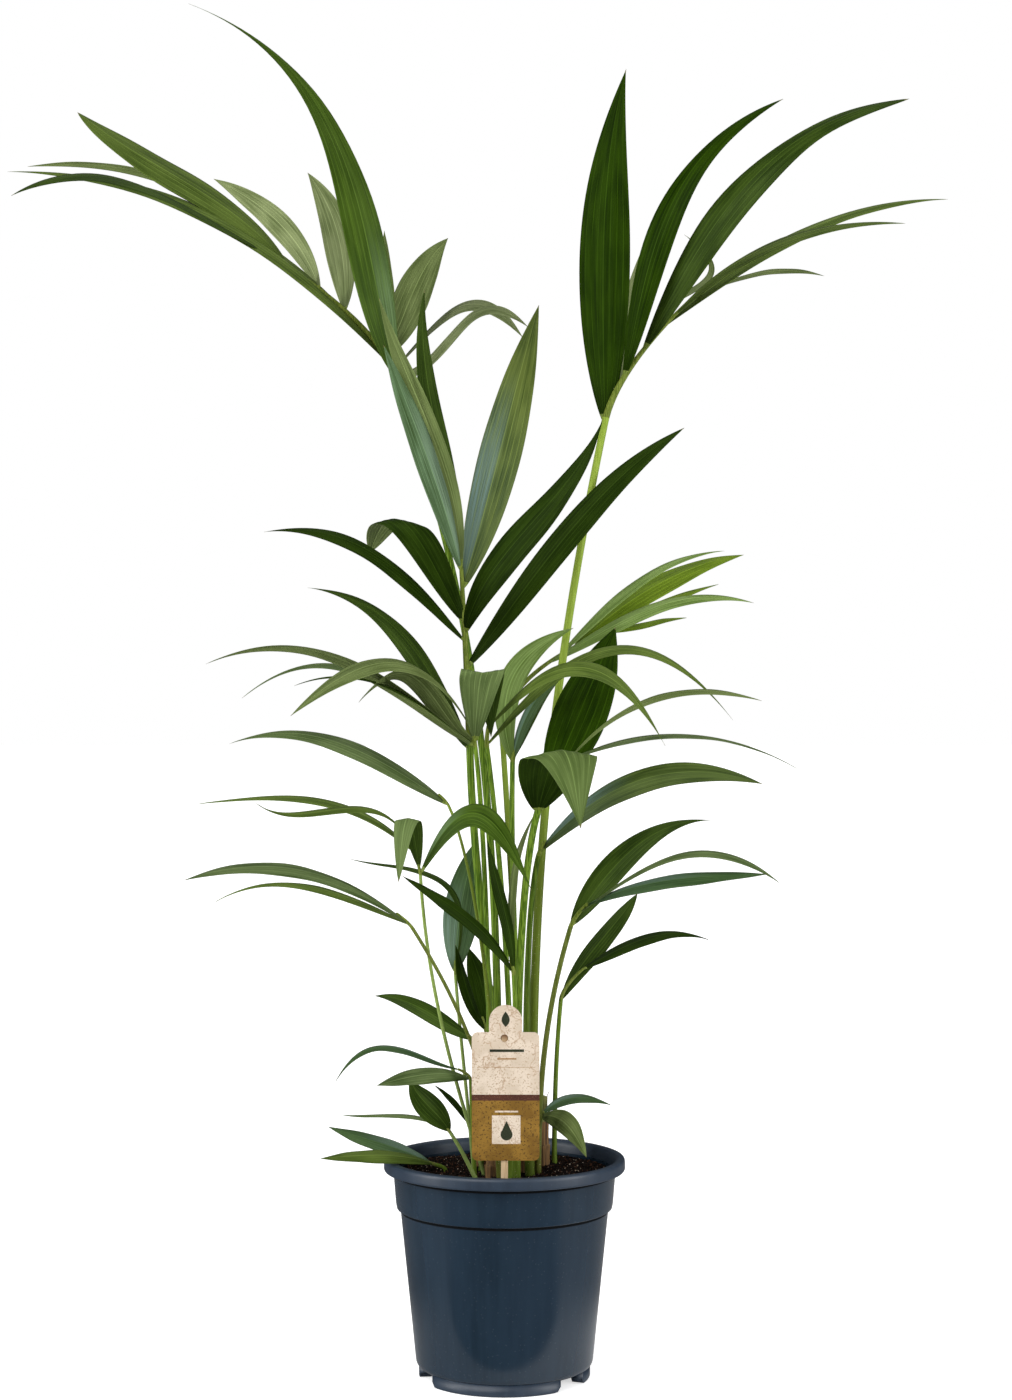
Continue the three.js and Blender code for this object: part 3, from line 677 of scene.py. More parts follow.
# %% [markdown]
# ## Meshes from grids
# Almost everything on this plant is a grid of points: rings along a tube, rows along a blade. One
# function turns grids into an object and another makes the faces between rows and columns. Each
# grid also gets a flat map, where every strip has a place of its own, so that the finish can later be
# painted into a picture without two leaves landing on the same spot.

# %% Faces and maps of grids
MAP_MARGIN = 0.002


def corners_of(grid):
    """The four corners of each cell of a grid, in turn."""
    return [grid[:-1, :-1], grid[1:, :-1], grid[1:, 1:], grid[:-1, 1:]]


def grid_faces(grid, wrap=False):
    """Four-sided faces between the rows and columns of a grid of point numbers."""
    if wrap:
        grid = np.concatenate([grid, grid[:, :1]], axis=1)
    return np.stack(corners_of(grid), axis=-1).reshape(-1, 4)


def corner_map(grid):
    """Spreads a map given at grid points to the corners of the faces."""
    return np.stack(corners_of(grid), axis=-2).reshape(-1, 4, 2)


def grid_map(rows, columns, left=0.0, right=1.0):
    """A flat map of such a grid, with the strip between left and right."""
    across = np.linspace(left, right, columns)
    along = np.linspace(MAP_MARGIN, 1 - MAP_MARGIN, rows)
    return corner_map(np.stack(np.meshgrid(along, across, indexing="ij")[::-1], axis=-1))


def cap_faces(ring, outward):
    """Closes a ring of points with a row of four-sided faces."""
    count = len(ring)
    cells = range(count // 2 - 1 + count % 2)
    pairs = [(ring[i], ring[i + 1], ring[count - 2 - i], ring[count - 1 - i]) for i in cells]
    return [pair if outward else pair[::-1] for pair in pairs]


def closed_tube(rows, sides, strip, corner):
    """Faces and flat map of rings that are closed at both ends."""
    grid = np.arange(rows * sides).reshape(rows, sides)
    caps = np.array(cap_faces(grid[0], False) + cap_faces(grid[-1], True))
    faces = np.concatenate([grid_faces(grid, wrap=True)[:, ::-1], caps])
    body = grid_map(rows, sides + 1, *strip)[:, ::-1]
    return faces, np.concatenate([body, grid_map(len(caps) + 1, 2, *corner)])


def full_turn(count):
    """That many even angles round a circle."""
    return np.linspace(0, 2 * math.pi, count, endpoint=False)


def points_from(x, y, z):
    """One point for each place of a grid, from parts that may also be a single row or column."""
    return np.stack(np.broadcast_arrays(x, y, z), axis=-1).reshape(-1, 3)


print("a 3 by 4 grid has", len(grid_faces(np.arange(12).reshape(3, 4))), "faces")

# %% Pieces
def settle(name, mesh, nodes=()):
    """Puts a mesh in the scene, lets it ride and lets it stand for the solids it replaces."""
    piece = add_object(name, mesh)
    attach(piece, "root")
    if nodes:
        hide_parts(*nodes)
    return piece


class Sheaf:
    """Collects points, faces, maps and finishes of many strips, to make them one object."""

    def __init__(self):
        self.points = []
        self.faces = []
        self.maps = {"OFBake": [], "Veins": [], "Share": []}
        self.finishes = []
        self.numbers = []
        self.count = 0

    def add(self, points, faces, bake, finish, veins=None, share=None):
        """Adds one strip, in one finish or with the number of a finish for each face."""
        if not isinstance(finish, np.ndarray):
            finish = np.full(len(faces), self.number(finish))
        self.points.append(points)
        self.faces.append(faces + self.count)
        self.maps["OFBake"].append(bake)
        self.maps["Veins"].append(bake if veins is None else veins)
        self.maps["Share"].append(bake if share is None else share)
        self.numbers.append(finish)
        self.count += len(points)

    def number(self, finish):
        """The place of a finish in the object's list of materials."""
        if finish not in self.finishes:
            self.finishes.append(finish)
        return self.finishes.index(finish)

    def build(self, name, nodes):
        """Makes the object."""
        mesh = bpy.data.meshes.new(name)
        points = np.concatenate(self.points) * MM
        faces = np.concatenate(self.faces)
        mesh.from_pydata(points.tolist(), [], faces.tolist())
        for label, strips in self.maps.items():
            layer = mesh.uv_layers.new(name=label)
            layer.data.foreach_set("uv", np.concatenate(strips).reshape(-1).astype(np.float32))
        mesh.uv_layers.active = mesh.uv_layers["OFBake"]
        for finish in self.finishes:
            mesh.materials.append(finish)
        mesh.polygons.foreach_set("material_index", np.concatenate(self.numbers).astype(np.int32))
        mesh.polygons.foreach_set("use_smooth", np.ones(len(faces), bool))
        mesh.update()
        return settle(name, mesh, nodes)


print("an object has the maps", list(Sheaf().maps))

# %% [markdown]
# ## Stalks
# A petiole is a tapering tube that runs on as the rib between the blades; on the real plant it is a
# little flattened on its upper side, but here its rings are round. A tube is rings of points carried
# along the curve. The ring's own right and up are found from the direction of the curve and a fixed
# direction to the back, so the tube never twists.

# %% Stalks
SOIL_Z = 178
CROWN_HEADING = 0.35
STALK_SIDES = 14
STALK_ROWS = 72
RIB_ROWS = 26
BACK = np.array([0.0, 1.0, 0.0])


def tube_points(middle, radii, sides):
    """Rings of points round a run of middle points."""
    along = directions(middle)
    right = np.cross(BACK, along)
    right /= np.linalg.norm(right, axis=1)[:, None]
    up = np.cross(along, right)
    turn = full_turn(sides)
    ring = np.cos(turn)[None, :, None] * right[:, None] + np.sin(turn)[None, :, None] * up[:, None]
    return middle[:, None] + ring * np.asarray(radii)[:, None, None]


def add_tube(sheaf, middle, radii, finish, sides=STALK_SIDES, strip=(0.01, 0.99), rib=None):
    """Adds a tube with closed ends to a sheaf; past the stalk it may have a finish of its own."""
    points = tube_points(middle, radii, sides).reshape(-1, 3)
    faces, bake = closed_tube(len(middle), sides, strip, (strip[0] - 0.008, strip[0] - 0.002))
    finishes = np.full(len(faces), sheaf.number(finish))
    if rib is not None:
        finishes[STALK_ROWS * sides:] = sheaf.number(rib)
    sheaf.add(points, faces, bake, finishes)


def rib_corners(frond):
    """The three corners of the rib's curve, which starts the way the stalk arrives."""
    crown = np.array(frond["crown"], float)
    end = np.array(frond["end"], float)
    reach = np.linalg.norm(end - crown)
    heading = unit(np.array(frond["arrive"], float)) * reach * CROWN_HEADING
    return crown, crown + heading, end


def stalk_corners(frond):
    """The four corners of the stalk's curve, from the soil to the crown."""
    foot = np.array((*frond["foot"], SOIL_Z), float)
    crown = np.array(frond["crown"], float)
    return foot, foot + np.array(frond["leave"], float), crown - np.array(frond["arrive"], float), crown


print("a stalk has", STALK_ROWS + RIB_ROWS, "rings of", STALK_SIDES, "points")

# %% [markdown]
# ## Blades
# Each leaflet starts on the rib and is set out by a few plain facts: where on the rib it is attached,
# where its tip is from there, how far it arches early and late, how wide it is, and how far it is
# rolled on its spine. From these comes a spine, and from the spine a grid of points: a lance-shaped
# outline, folded like a roof along the midrib, with shallow pleats that real palm blades keep from
# the time they were closed like a fan. The blade is a closed lens half a millimetre thick, so it has
# an upper and an under side that can be finished apart, and both sides share one edge.

# %% The outline and section of a blade
BLADE_FOOT = 0.07
FOOT_FULLNESS = 0.85
KEEL_SOFTNESS = 0.12
ENDS_CLOSER = 0.55


def swell(share, drawn):
    """Lance shape: quickly wider from the foot, and narrower to a tip that is more or less drawn out."""
    return share**FOOT_FULLNESS * (1 - share) ** drawn


def half_width(share, wide, drawn):
    """Half the blade's width at a share of its length."""
    widest = FOOT_FULLNESS / (FOOT_FULLNESS + drawn)
    foot = BLADE_FOOT * (1 - share)
    return wide / 2 * (foot + (1 - foot) * swell(share, drawn) / swell(widest, drawn))


def keel(side):
    """The roof fold: 0 on the midrib and 1 at either edge, with a soft ridge."""
    rise = np.sqrt(side**2 + KEEL_SOFTNESS**2) - KEEL_SOFTNESS
    return rise / (math.sqrt(1 + KEEL_SOFTNESS**2) - KEEL_SOFTNESS)


def ease(share, start, end):
    """A smooth rise from 0 to 1 between two shares."""
    rise = np.clip((share - start) / (end - start), 0, 1)
    return rise * rise * (3 - 2 * rise)


def blade_rows(count):
    """Shares along a blade, closer together at its foot and its tip."""
    even = np.linspace(0, 1, count)
    return (1 - ENDS_CLOSER) * even + ENDS_CLOSER * (0.5 - 0.5 * np.cos(math.pi * even))


print("a blade 40 wide is", round(2 * half_width(0.5, 40, 1), 1), "wide at its middle")

# %% [markdown]
# ## Setting a blade on its rib
# The spine is a cubic curve whose two inner corners are lifted off the straight line from foot to tip,
# so that a blade rises and then hangs. Its own up direction is found at each point from a level line
# across it. Rolling turns the blade about its spine, a twist turns its outer part further, and
# small seeded waves along the edges make no two blades alike.

# %% The spine and the grid of a blade
BLADE_KEEL = 0.2
PLEAT_DEPTH = 0.008
PLEATS = 2.5
PLEAT_DRIFT = 0.4
PLEAT_ENDS = 8
WAVE_DEPTH = 0.07
WAVE_BEATS = (1.5, 3.5)
WAVE_TURN = 6.3
BLADE_THICK = 0.5
CUSHION_THICK = 2.2
CUSHION_SHARE = 0.022
LEAST_HALF_WIDTH = 0.12
TWIST_SHARES = (0.35, 0.8)
VEINS_APART = 9000


def blade_spine(facts, foot, shares):
    """Middle points of a blade and the level direction across it."""
    chord = np.array(facts["tip"], float)
    plan = math.atan2(chord[1], chord[0])
    if facts["heading"] is not None:
        plan = math.radians(facts["heading"])
    across = np.array([math.sin(plan), -math.cos(plan), 0.0])
    above = unit(np.cross(across, chord))
    early, late = facts["arch"]
    first = foot + chord / 3 + above * (3 * early - 1.5 * late)
    second = foot + 2 * chord / 3 + above * (3 * late - 1.5 * early)
    return bezier([foot, first, second, foot + chord], shares), across


def edge_waves(share, side, chance):
    """Slow waves that grow toward either edge."""
    waves = 0
    for edge in (-1, 1):
        beats = chance.uniform(*WAVE_BEATS)
        phase = chance.uniform(0, WAVE_TURN)
        wave = np.sin(share * beats * WAVE_TURN + phase)
        waves = waves + wave * np.clip(side * edge, 0, 1) ** 2
    return waves


def blade_grid(facts, foot, rows, columns, chance):
    """The points of the upper and under side of a blade, and its map in millimetres."""
    shares = blade_rows(rows)
    middle, across = blade_spine(facts, foot, shares)
    front = across if across[1] <= 1e-6 else -across
    normal = np.cross(across, directions(middle))
    normal /= np.linalg.norm(normal, axis=1)[:, None]
    turn = np.radians(facts["roll"] + facts["twist"] * ease(shares, *TWIST_SHARES))[:, None]
    side_way = front * np.cos(turn) - normal * np.sin(turn)
    face_way = normal * np.cos(turn) + front * np.sin(turn)

    side = np.linspace(-1, 1, columns)[None, :]
    share = shares[:, None]
    half = np.maximum(half_width(share, facts["wide"], facts["drawn"]), LEAST_HALF_WIDTH)
    drift = chance.uniform(-PLEAT_DRIFT, PLEAT_DRIFT)
    shallow = np.minimum(1, PLEAT_ENDS * share * (1 - share))
    pleat = np.cos(side * math.pi * 2 * PLEATS + drift) * shallow
    waves = edge_waves(share, side, chance)
    depth = half * (-BLADE_KEEL * keel(side) + PLEAT_DEPTH * pleat + WAVE_DEPTH * waves * share)
    surface = middle[:, None] + side_way[:, None] * (side * half)[..., None]
    surface = surface + face_way[:, None] * depth[..., None]

    cushion = CUSHION_THICK * np.exp(-share / CUSHION_SHARE)
    thick = np.minimum((BLADE_THICK + cushion) * np.sqrt(1 - side**2), half)
    offset = face_way[:, None] * (thick / 2)[..., None]
    length = np.linalg.norm(np.diff(middle, axis=0), axis=1).sum()
    along = share * length + chance.uniform(0, VEINS_APART)
    lines = np.stack(np.broadcast_arrays(side * facts["wide"] / 2, along), axis=-1)
    halfway = rows // 2
    upward = np.cross(directions(middle)[halfway], side_way[halfway])
    return surface + offset, surface - offset, lines, shares, np.dot(upward, face_way[halfway]) > 0


print("pleats across a blade:", 2 * PLEATS)

# %% The two sides of a blade
FOOT_SHARE = 0.03
DRY_SHARE = 0.99
ROWS = 44
NARROW = 18
NARROW_COLUMNS = 17
WIDE_COLUMNS = 25


def add_blade(sheaf, facts, foot, place, places, chance):
    """Adds one blade to a sheaf, as two sides that share their edge."""
    columns = NARROW_COLUMNS if facts["wide"] < NARROW else WIDE_COLUMNS
    upper, under, lines, shares, faces_up = blade_grid(facts, foot, ROWS, columns, chance)
    upper[0], upper[-1] = (upper[0] + under[0]) / 2, (upper[-1] + under[-1]) / 2
    points = np.concatenate([upper.reshape(-1, 3), under[1:-1, 1:-1].reshape(-1, 3)])
    top = np.arange(ROWS * columns).reshape(ROWS, columns)
    low = top.copy()
    inner = np.arange((ROWS - 2) * (columns - 2)).reshape(ROWS - 2, columns - 2)
    low[1:-1, 1:-1] = ROWS * columns + inner

    sides = [LEAF_FINISHES[tint] for tint in TINTS[facts["tint"]]]
    *numbers, cushion, dry = [sheaf.number(finish) for finish in (*sides, LEAF_FOOT, LEAF_TIP)]
    ends = shares[1:]
    step = 1 / places
    for order, (grid, number) in enumerate(zip((top, low), numbers)):
        left = (2 * place + order) * step / 2
        bake = grid_map(ROWS, columns, left + step * 0.03, left + step * 0.47)
        parts = [grid_faces(grid), bake, corner_map(lines), grid_map(ROWS, columns)]
        if faces_up == (order == 1):
            parts = [part[:, ::-1] for part in parts]
        faces, bake, veins, share = parts
        row_finishes = np.where(ends < FOOT_SHARE, cushion, np.where(ends > DRY_SHARE, dry, number))
        finishes = np.repeat(row_finishes, columns - 1)
        if order == 0:
            sheaf.add(points, faces, bake, finishes, veins, share)
        else:
            sheaf.add(np.zeros((0, 3)), faces - len(points), bake, finishes, veins, share)


print("a blade has", ROWS, "rows and", NARROW_COLUMNS, "or", WIDE_COLUMNS, "columns")

# %% [markdown]
# ## The fronds of this palm
# A kentia seedling lifts each frond on its own stalk. This clump has three tall fronds, a row of
# shorter ones below them and six young shoots near the soil. A frond is noted by where its stalk
# leaves the soil, its handles, its crown, the end of its rib, and its thickness at those three
# places. Its leaflets follow, each by its facts. The values were chosen frond by frond, to give the
# plant its own habit: a plant grown from one rule alone looks even in a way that no palm in a pot
# does.

# %% The tall fronds
FRONDS = []


def frond(name, foot, leave, arrive, crown, end, thick, stalk="green"):
    """Notes the facts of a new frond: its stalk from the soil and its rib, in millimetres."""
    facts = dict(name=name, foot=foot, leave=leave, arrive=arrive, crown=crown, end=end)
    FRONDS.append(dict(facts, thick=thick, stalk=stalk, leaflets=[]))


def leaflet(at, tip, arch, wide, roll, tint, heading=None, twist=0, drawn=1.0):
    """Gives the last frond a leaflet, in millimetres and degrees."""
    facts = dict(at=at, tip=tip, arch=arch, wide=wide, roll=roll, tint=tint)
    FRONDS[-1]["leaflets"].append(dict(facts, heading=heading, twist=twist, drawn=drawn))


frond(
    "tall_left", foot=(-5, 14), leave=(0, 0, 276), arrive=(-80, 0, 228),
    crown=(-94, 30, 869), end=(-211, 0, 980), thick=(8, 5.5, 2.4),
)
leaflet(0.03, (-166, -140, 291), (36, 53), 37, 62, "bright", heading=180, twist=-8, drawn=2.0)
leaflet(0.09, (-9, 60, 131), (0, 0), 17, -60, "under", heading=180)
leaflet(0.15, (53, 101, 123), (3, 6), 33, -70, "under", heading=0)
leaflet(0.07, (116, 140, 48), (30, 41), 22, -38, "under_light", twist=10)
leaflet(0.04, (118, 80, 54), (8, 28), 23, -40, "under_light", twist=10)
leaflet(0.47, (-40, 90, 140), (10, 11), 30, -65, "under_light", heading=180)
leaflet(0.64, (-110, 145, 127), (14, 13), 24, -62, "under_light", heading=180)
leaflet(0.84, (-180, -27, 129), (9, 3), 30, 58, "olive", drawn=0.8)
leaflet(0.94, (-234, 107, 101), (29, 27), 16, -24, "olive")
leaflet(0.1, (-321, -88, 152), (40, 42), 26, 40, "olive", drawn=1.2)
leaflet(0.97, (-194, -151, 20), (24, 33), 22, 34, "mid")

frond(
    "middle", foot=(-6, -8), leave=(0, 0, 146), arrive=(-4, 0, 128),
    crown=(-30, -12, 543), end=(-38, -2, 708), thick=(8, 6.5, 3.5),
)
leaflet(0.68, (-84, 60, 66), (45, 66), 35, 0, "dark_fold", heading=90, drawn=0.6)
leaflet(0.58, (-163, -122, 87), (24, 28), 26, 50, "dark", drawn=1.4)
leaflet(0.01, (-136, -60, 138), (22, 29), 33, 52, "mid", drawn=1.5)
leaflet(0.62, (116, -113, 175), (8, -2), 32, 58, "dark", heading=0, drawn=1.3)
leaflet(0.44, (194, 69, 216), (10, 14), 25, 58, "dark", drawn=0.9)
leaflet(0.86, (68, 104, 263), (-1, 0), 38, 82, "frost_sheen", heading=0)
leaflet(0.96, (-33, 32, 249), (-2, -8), 21, 64, "mid", heading=180)
leaflet(0.95, (-67, -17, 195), (4, 3), 23, 66, "haze_sheen", heading=180)
leaflet(0.98, (-71, -9, 232), (11, 5), 22, -58, "olive", heading=180)

frond(
    "tall_right", foot=(25, 34), leave=(-2, 0, 262), arrive=(46, 0, 225),
    crown=(89, 50, 834), end=(175, 56, 954), thick=(9, 6.5, 2.4), stalk="lime",
)
leaflet(0.01, (21, 40, 325), (8, 11), 47, 74, "rich", heading=0, drawn=1.1)
leaflet(0.3, (129, -121, 220), (28, 38), 30, 58, "rich", heading=0, twist=-16, drawn=0.9)
leaflet(0.5, (207, -192, 179), (32, 41), 35, 60, "mid", heading=0, twist=-25, drawn=0.75)
leaflet(0.69, (264, 57, 125), (22, 25), 19, 32, "olive")
leaflet(0.77, (204, -24, 79), (24, 24), 20, 34, "olive")
leaflet(0.93, (134, 125, 41), (11, 12), 12, -24, "under")
leaflet(0.63, (34, 137, 114), (8, 34), 14, -30, "under", heading=180)
leaflet(0.19, (30, 110, 148), (2, 2), 18, -60, "under_light", heading=0)
print("fronds so far:", len(FRONDS))

# %% Fronds to the right
frond(
    "light_right", foot=(14, 27), leave=(0, 0, 150), arrive=(-4, 12, 60),
    crown=(-2, 30, 557), end=(96, 92, 652), thick=(7, 5, 2.2), stalk="lime",
)
leaflet(0.63, (153, 53, 97), (14, 18), 14, 26, "pale")
leaflet(0.74, (163, 105, 89), (12, 13), 25, 40, "lime")
leaflet(0.84, (131, 148, 57), (5, 5), 16, -24, "lime", heading=0)
leaflet(0.54, (185, 0, 54), (15, 21), 17, 42, "pale")
leaflet(0.95, (86, 141, 18), (1, 2), 16, 22, "lime", heading=0)

frond(
    "light_inner", foot=(16, 10), leave=(-4, 0, 140), arrive=(2, 6, 100),
    crown=(7, 14, 532), end=(17, 28, 560), thick=(6, 4.5, 3),
)
leaflet(0.05, (54, 20, 118), (27, 28), 24, -68, "pale", heading=0)
leaflet(0.05, (54, 9, 84), (10, 11), 15, 46, "blue", heading=0)
leaflet(0.11, (83, 116, 94), (14, 19), 14, 40, "mid", heading=0)

frond(
    "dark_right", foot=(10, -41), leave=(0, -6, 150), arrive=(14, -6, 50),
    crown=(28, -64, 493), end=(56, -52, 539), thick=(8, 6, 3),
)
leaflet(0.36, (62, 95, 141), (0, 0), 48, 74, "rich", heading=0)
leaflet(0.02, (34, -76, -11), (46, 57), 60, 0, "fold", heading=270)
leaflet(0.86, (160, -73, 54), (27, 27), 15, 28, "soft")
leaflet(0.94, (217, 173, -13), (24, 24), 13, 18, "dusty")

frond(
    "low_dark_right", foot=(22, -31), leave=(-6, 0, 110), arrive=(10, -2, 40),
    crown=(29, -36, 454), end=(34, -42, 467), thick=(9, 4.5, 3), stalk="dark",
)
leaflet(0.25, (180, -113, 62), (29, 30), 24, 66, "sheen")

frond(
    "right", foot=(29, -10), leave=(1, 4, 80), arrive=(22, -5, 75),
    crown=(57, -16, 391), end=(72, -24, 413), thick=(6, 4.2, 2.5), stalk="olive",
)
leaflet(0.06, (134, 106, 86), (21, 24), 24, 56, "mid", drawn=1.7)
leaflet(0.5, (162, -121, 35), (28, 35), 15, 26, "dusty")
leaflet(0.84, (143, -148, 38), (9, 7), 17, 44, "blue")

frond(
    "low_right", foot=(44, 28), leave=(0, 8, 56), arrive=(4, 2, 40),
    crown=(50, 42, 321), end=(71, 50, 349), thick=(5, 3.8, 2.2),
)
leaflet(0.01, (73, 98, 87), (3, 1), 20, 56, "mid", heading=0, drawn=0.8)
leaflet(0.96, (124, 130, 13), (12, 15), 14, 30, "dark")
print("fronds so far:", len(FRONDS))

# %% Fronds to the left
frond(
    "left", foot=(-12, -12), leave=(0, -16, 150), arrive=(-8, -2, 60),
    crown=(-25, -34, 547), end=(-26, -38, 562), thick=(6, 4, 3),
)
leaflet(0.32, (14, 8, 4), (57, 57), 37, 180, "fold_grey", heading=90)
leaflet(0.73, (-147, -124, 17), (50, 44), 21, 34, "soft")
leaflet(0.04, (-221, -86, 70), (27, 37), 17, -26, "under")
leaflet(0.02, (-201, 4, 42), (30, 44), 16, 20, "dusty")
leaflet(0.17, (-150, -66, 50), (18, 24), 12, 14, "under")
leaflet(0.44, (-97, -46, 32), (17, 36), 22, -36, "under")

frond(
    "inner", foot=(7, -7), leave=(0, 4, 140), arrive=(-12, -8, 90),
    crown=(-15, -16, 546), end=(-12, -24, 574), thick=(6, 4.2, 3),
)
leaflet(0.63, (144, -140, -13), (50, 53), 18, 52, "olive", drawn=1.4)
leaflet(0.1, (209, -43, 22), (57, 67), 16, 42, "olive", drawn=1.4)

frond(
    "single_left", foot=(-4, -23), leave=(-2, -22, 130), arrive=(-22, 12, 44),
    crown=(-48, -30, 497), end=(-57, -24, 507), thick=(5, 2.4, 1.8), stalk="lime",
)
leaflet(0.06, (-198, 90, 51), (21, 26), 19, 38, "dusty", drawn=1.2)

frond(
    "low_left", foot=(-17, -27), leave=(-25, -12, 82), arrive=(-6, -4, 100),
    crown=(-71, -66, 439), end=(-78, -60, 461), thick=(3.6, 2.8, 2), stalk="pale",
)
leaflet(0.3, (-15, -55, -8), (39, 46), 20, 0, "fold_soft", heading=270, drawn=0.8)
leaflet(0.08, (94, -32, -12), (55, 45), 25, 50, "bright", drawn=1.4)
leaflet(0.93, (-193, 81, 37), (25, 20), 15, 18, "olive")
leaflet(0.85, (-126, -89, 47), (24, 6), 11, 30, "olive")

frond(
    "bent_left", foot=(-5, -43), leave=(-2, -2, 84), arrive=(-36, -10, 58),
    crown=(-77, -74, 395), end=(-91, -80, 409), thick=(4, 3, 2.2), stalk="olive",
)
leaflet(0.18, (-175, -125, 47), (23, 24), 19, 36, "dusty")
leaflet(0.24, (-174, 75, 12), (18, 23), 12, 20, "olive")
print("fronds so far:", len(FRONDS))

# %% Small fronds inside the clump
frond(
    "shaded", foot=(-27, 9), leave=(-6, -4, 70), arrive=(-4, 6, 50),
    crown=(-43, 10, 347), end=(-43, 14, 360), thick=(3.6, 2.8, 2.4), stalk="pale",
)
leaflet(0.2, (19, 59, 113), (4, 4), 34, 70, "blue", heading=0)
leaflet(0.6, (-95, 30, 92), (46, 32), 9, 20, "under")

frond(
    "inner_low", foot=(4, -53), leave=(3, 0, 66), arrive=(-3, -2, 50),
    crown=(8, -58, 354), end=(5, -57, 368), thick=(5.2, 4, 2.6),
)
leaflet(0.14, (-93, -34, 85), (9, 7), 17, 50, "dark")
leaflet(0.26, (-22, -12, 113), (3, 1), 13, 52, "dark", heading=180)
leaflet(0.71, (20, 28, 126), (8, 10), 14, -30, "under", heading=0)

frond(
    "shaded_low", foot=(-9, 28), leave=(0, 0, 50), arrive=(-8, 2, 40),
    crown=(-16, 32, 293), end=(-20, 33, 308), thick=(4.4, 3.4, 2.8),
)
leaflet(0.07, (-17, 28, 73), (5, 4), 23, 66, "dark", heading=180)
leaflet(0.2, (-26, -41, 80), (-4, -3), 13, 50, "dark", heading=180)
print("fronds so far:", len(FRONDS))

# %% Young shoots
frond(
    "shoot_left", foot=(-21, -2), leave=(6, -10, 40), arrive=(-4, -10, 30),
    crown=(-23, -36, 292), end=(-30, -40, 300), thick=(4.2, 3.2, 2.4),
)
leaflet(0.54, (-88, 48, 32), (4, 7), 15, 56, "mid")

frond(
    "shoot_arched_left", foot=(-25, -36), leave=(-2, -4, 30), arrive=(-1, -6, 28),
    crown=(-29, -48, 264), end=(-40, -52, 274), thick=(4, 3, 2),
)
leaflet(0.95, (-104, -18, -9), (17, 26), 12, 20, "blue")
leaflet(0.08, (-75, -92, 8), (6, 5), 17, 46, "dusty")

frond(
    "shoot_round_left", foot=(-24, -44), leave=(-6, -3, 12), arrive=(-10, -5, 16),
    crown=(-46, -58, 221), end=(-50, -58, 226), thick=(4.4, 3, 2.2), stalk="pale",
)
leaflet(0.2, (-33, -12, 46), (0, -2), 22, 72, "mid", heading=180)
leaflet(0.5, (-93, 38, 6), (7, 4), 8, 18, "dusty")

frond(
    "shoot_low_left", foot=(-51, -6), leave=(0, 0, 4), arrive=(-5, -2, 2),
    crown=(-60, -10, 185), end=(-68, -14, 188), thick=(3.6, 3.2, 2.6),
)
leaflet(0.45, (-91, 22, 28), (2, 1), 16, 42, "blue")
leaflet(0.16, (-93, -79, 19), (5, 4), 16, 38, "olive")

frond(
    "shoot_thin_left", foot=(-27, -10), leave=(1, 0, 12), arrive=(-5, -1, 9),
    crown=(-28, -10, 216), end=(-30, -11, 219), thick=(3, 2.6, 2.2),
)
leaflet(0.5, (-32, -4, 37), (3, 3), 8, 40, "dark")

frond(
    "shoot_low_right", foot=(25, 10), leave=(3, -1, 18), arrive=(1, -2, 14),
    crown=(32, 6, 223), end=(34, 2, 229), thick=(4, 3, 2.2),
)
leaflet(0.5, (62, 36, 2), (10, 9), 12, 36, "blue")
leaflet(0.15, (37, -76, -22), (11, 11), 19, 56, "soft")

blades = sum(len(facts["leaflets"]) for facts in FRONDS)
print("fronds and shoots:", len(FRONDS), "blades:", blades)

# %% [markdown]
# ## Growing the fronds
# Each frond becomes two objects, because a palm's stalk and its blades are two finishes. The stalk and
# the rib are one tube, since on the real plant the one runs into the other. The blades of a frond are
# joined into one object. Both stand for the two plain solids of that frond, or for the single solid of
# a shoot, and a seed taken from the frond's place in the list keeps its small waves the same at every
# run.

# %% Growing the fronds
SINK = 3
TIP_SHARE = 0.5
FIRST_FROND_SEED = 40


def solids_of(facts):
    """The names of the plain solids that a frond's pieces stand for."""
    name = facts["name"]
    return [name] if name.startswith("shoot_") else ["stalk_" + name, "frond_" + name]


def grow_stalk(facts):
    """The tube of one stalk and its rib."""
    even = np.linspace(0, 1, STALK_ROWS)
    rib_even = np.linspace(0, 1, RIB_ROWS)
    stalk = along_curve(stalk_corners(facts), even)
    stalk[0, 2] -= SINK
    rib = along_curve(rib_corners(facts), rib_even)[1:]
    foot, crown, end = facts["thick"]
    stalk_widths = foot + (crown - foot) * np.sqrt(even)
    widths = np.concatenate([stalk_widths, crown + (end - crown) * rib_even[1:]])
    widths[-1] *= TIP_SHARE
    sheaf = Sheaf()
    middle = np.concatenate([stalk, rib])
    add_tube(sheaf, middle, widths / 2, STALK_FINISHES[facts["stalk"]], rib=STALK_FINISHES["rib"])
    return sheaf.build("petiole_" + facts["name"], solids_of(facts))


def grow_blades(facts, seed):
    """All the blades of one frond, as one object."""
    chance = random.Random(seed)
    sheaf = Sheaf()
    places = len(facts["leaflets"])
    for place, blade in enumerate(facts["leaflets"]):
        foot = along_curve(rib_corners(facts), [blade["at"]])[0]
        add_blade(sheaf, blade, foot, place, places, chance)
    return sheaf.build("blades_" + facts["name"], solids_of(facts))


faces_grown = 0
for order, facts in enumerate(FRONDS):
    for piece in (grow_stalk(facts), grow_blades(facts, FIRST_FROND_SEED + order)):
        faces_grown += len(piece.data.polygons)
print("grown:", 2 * len(FRONDS), "pieces,", faces_grown, "faces")

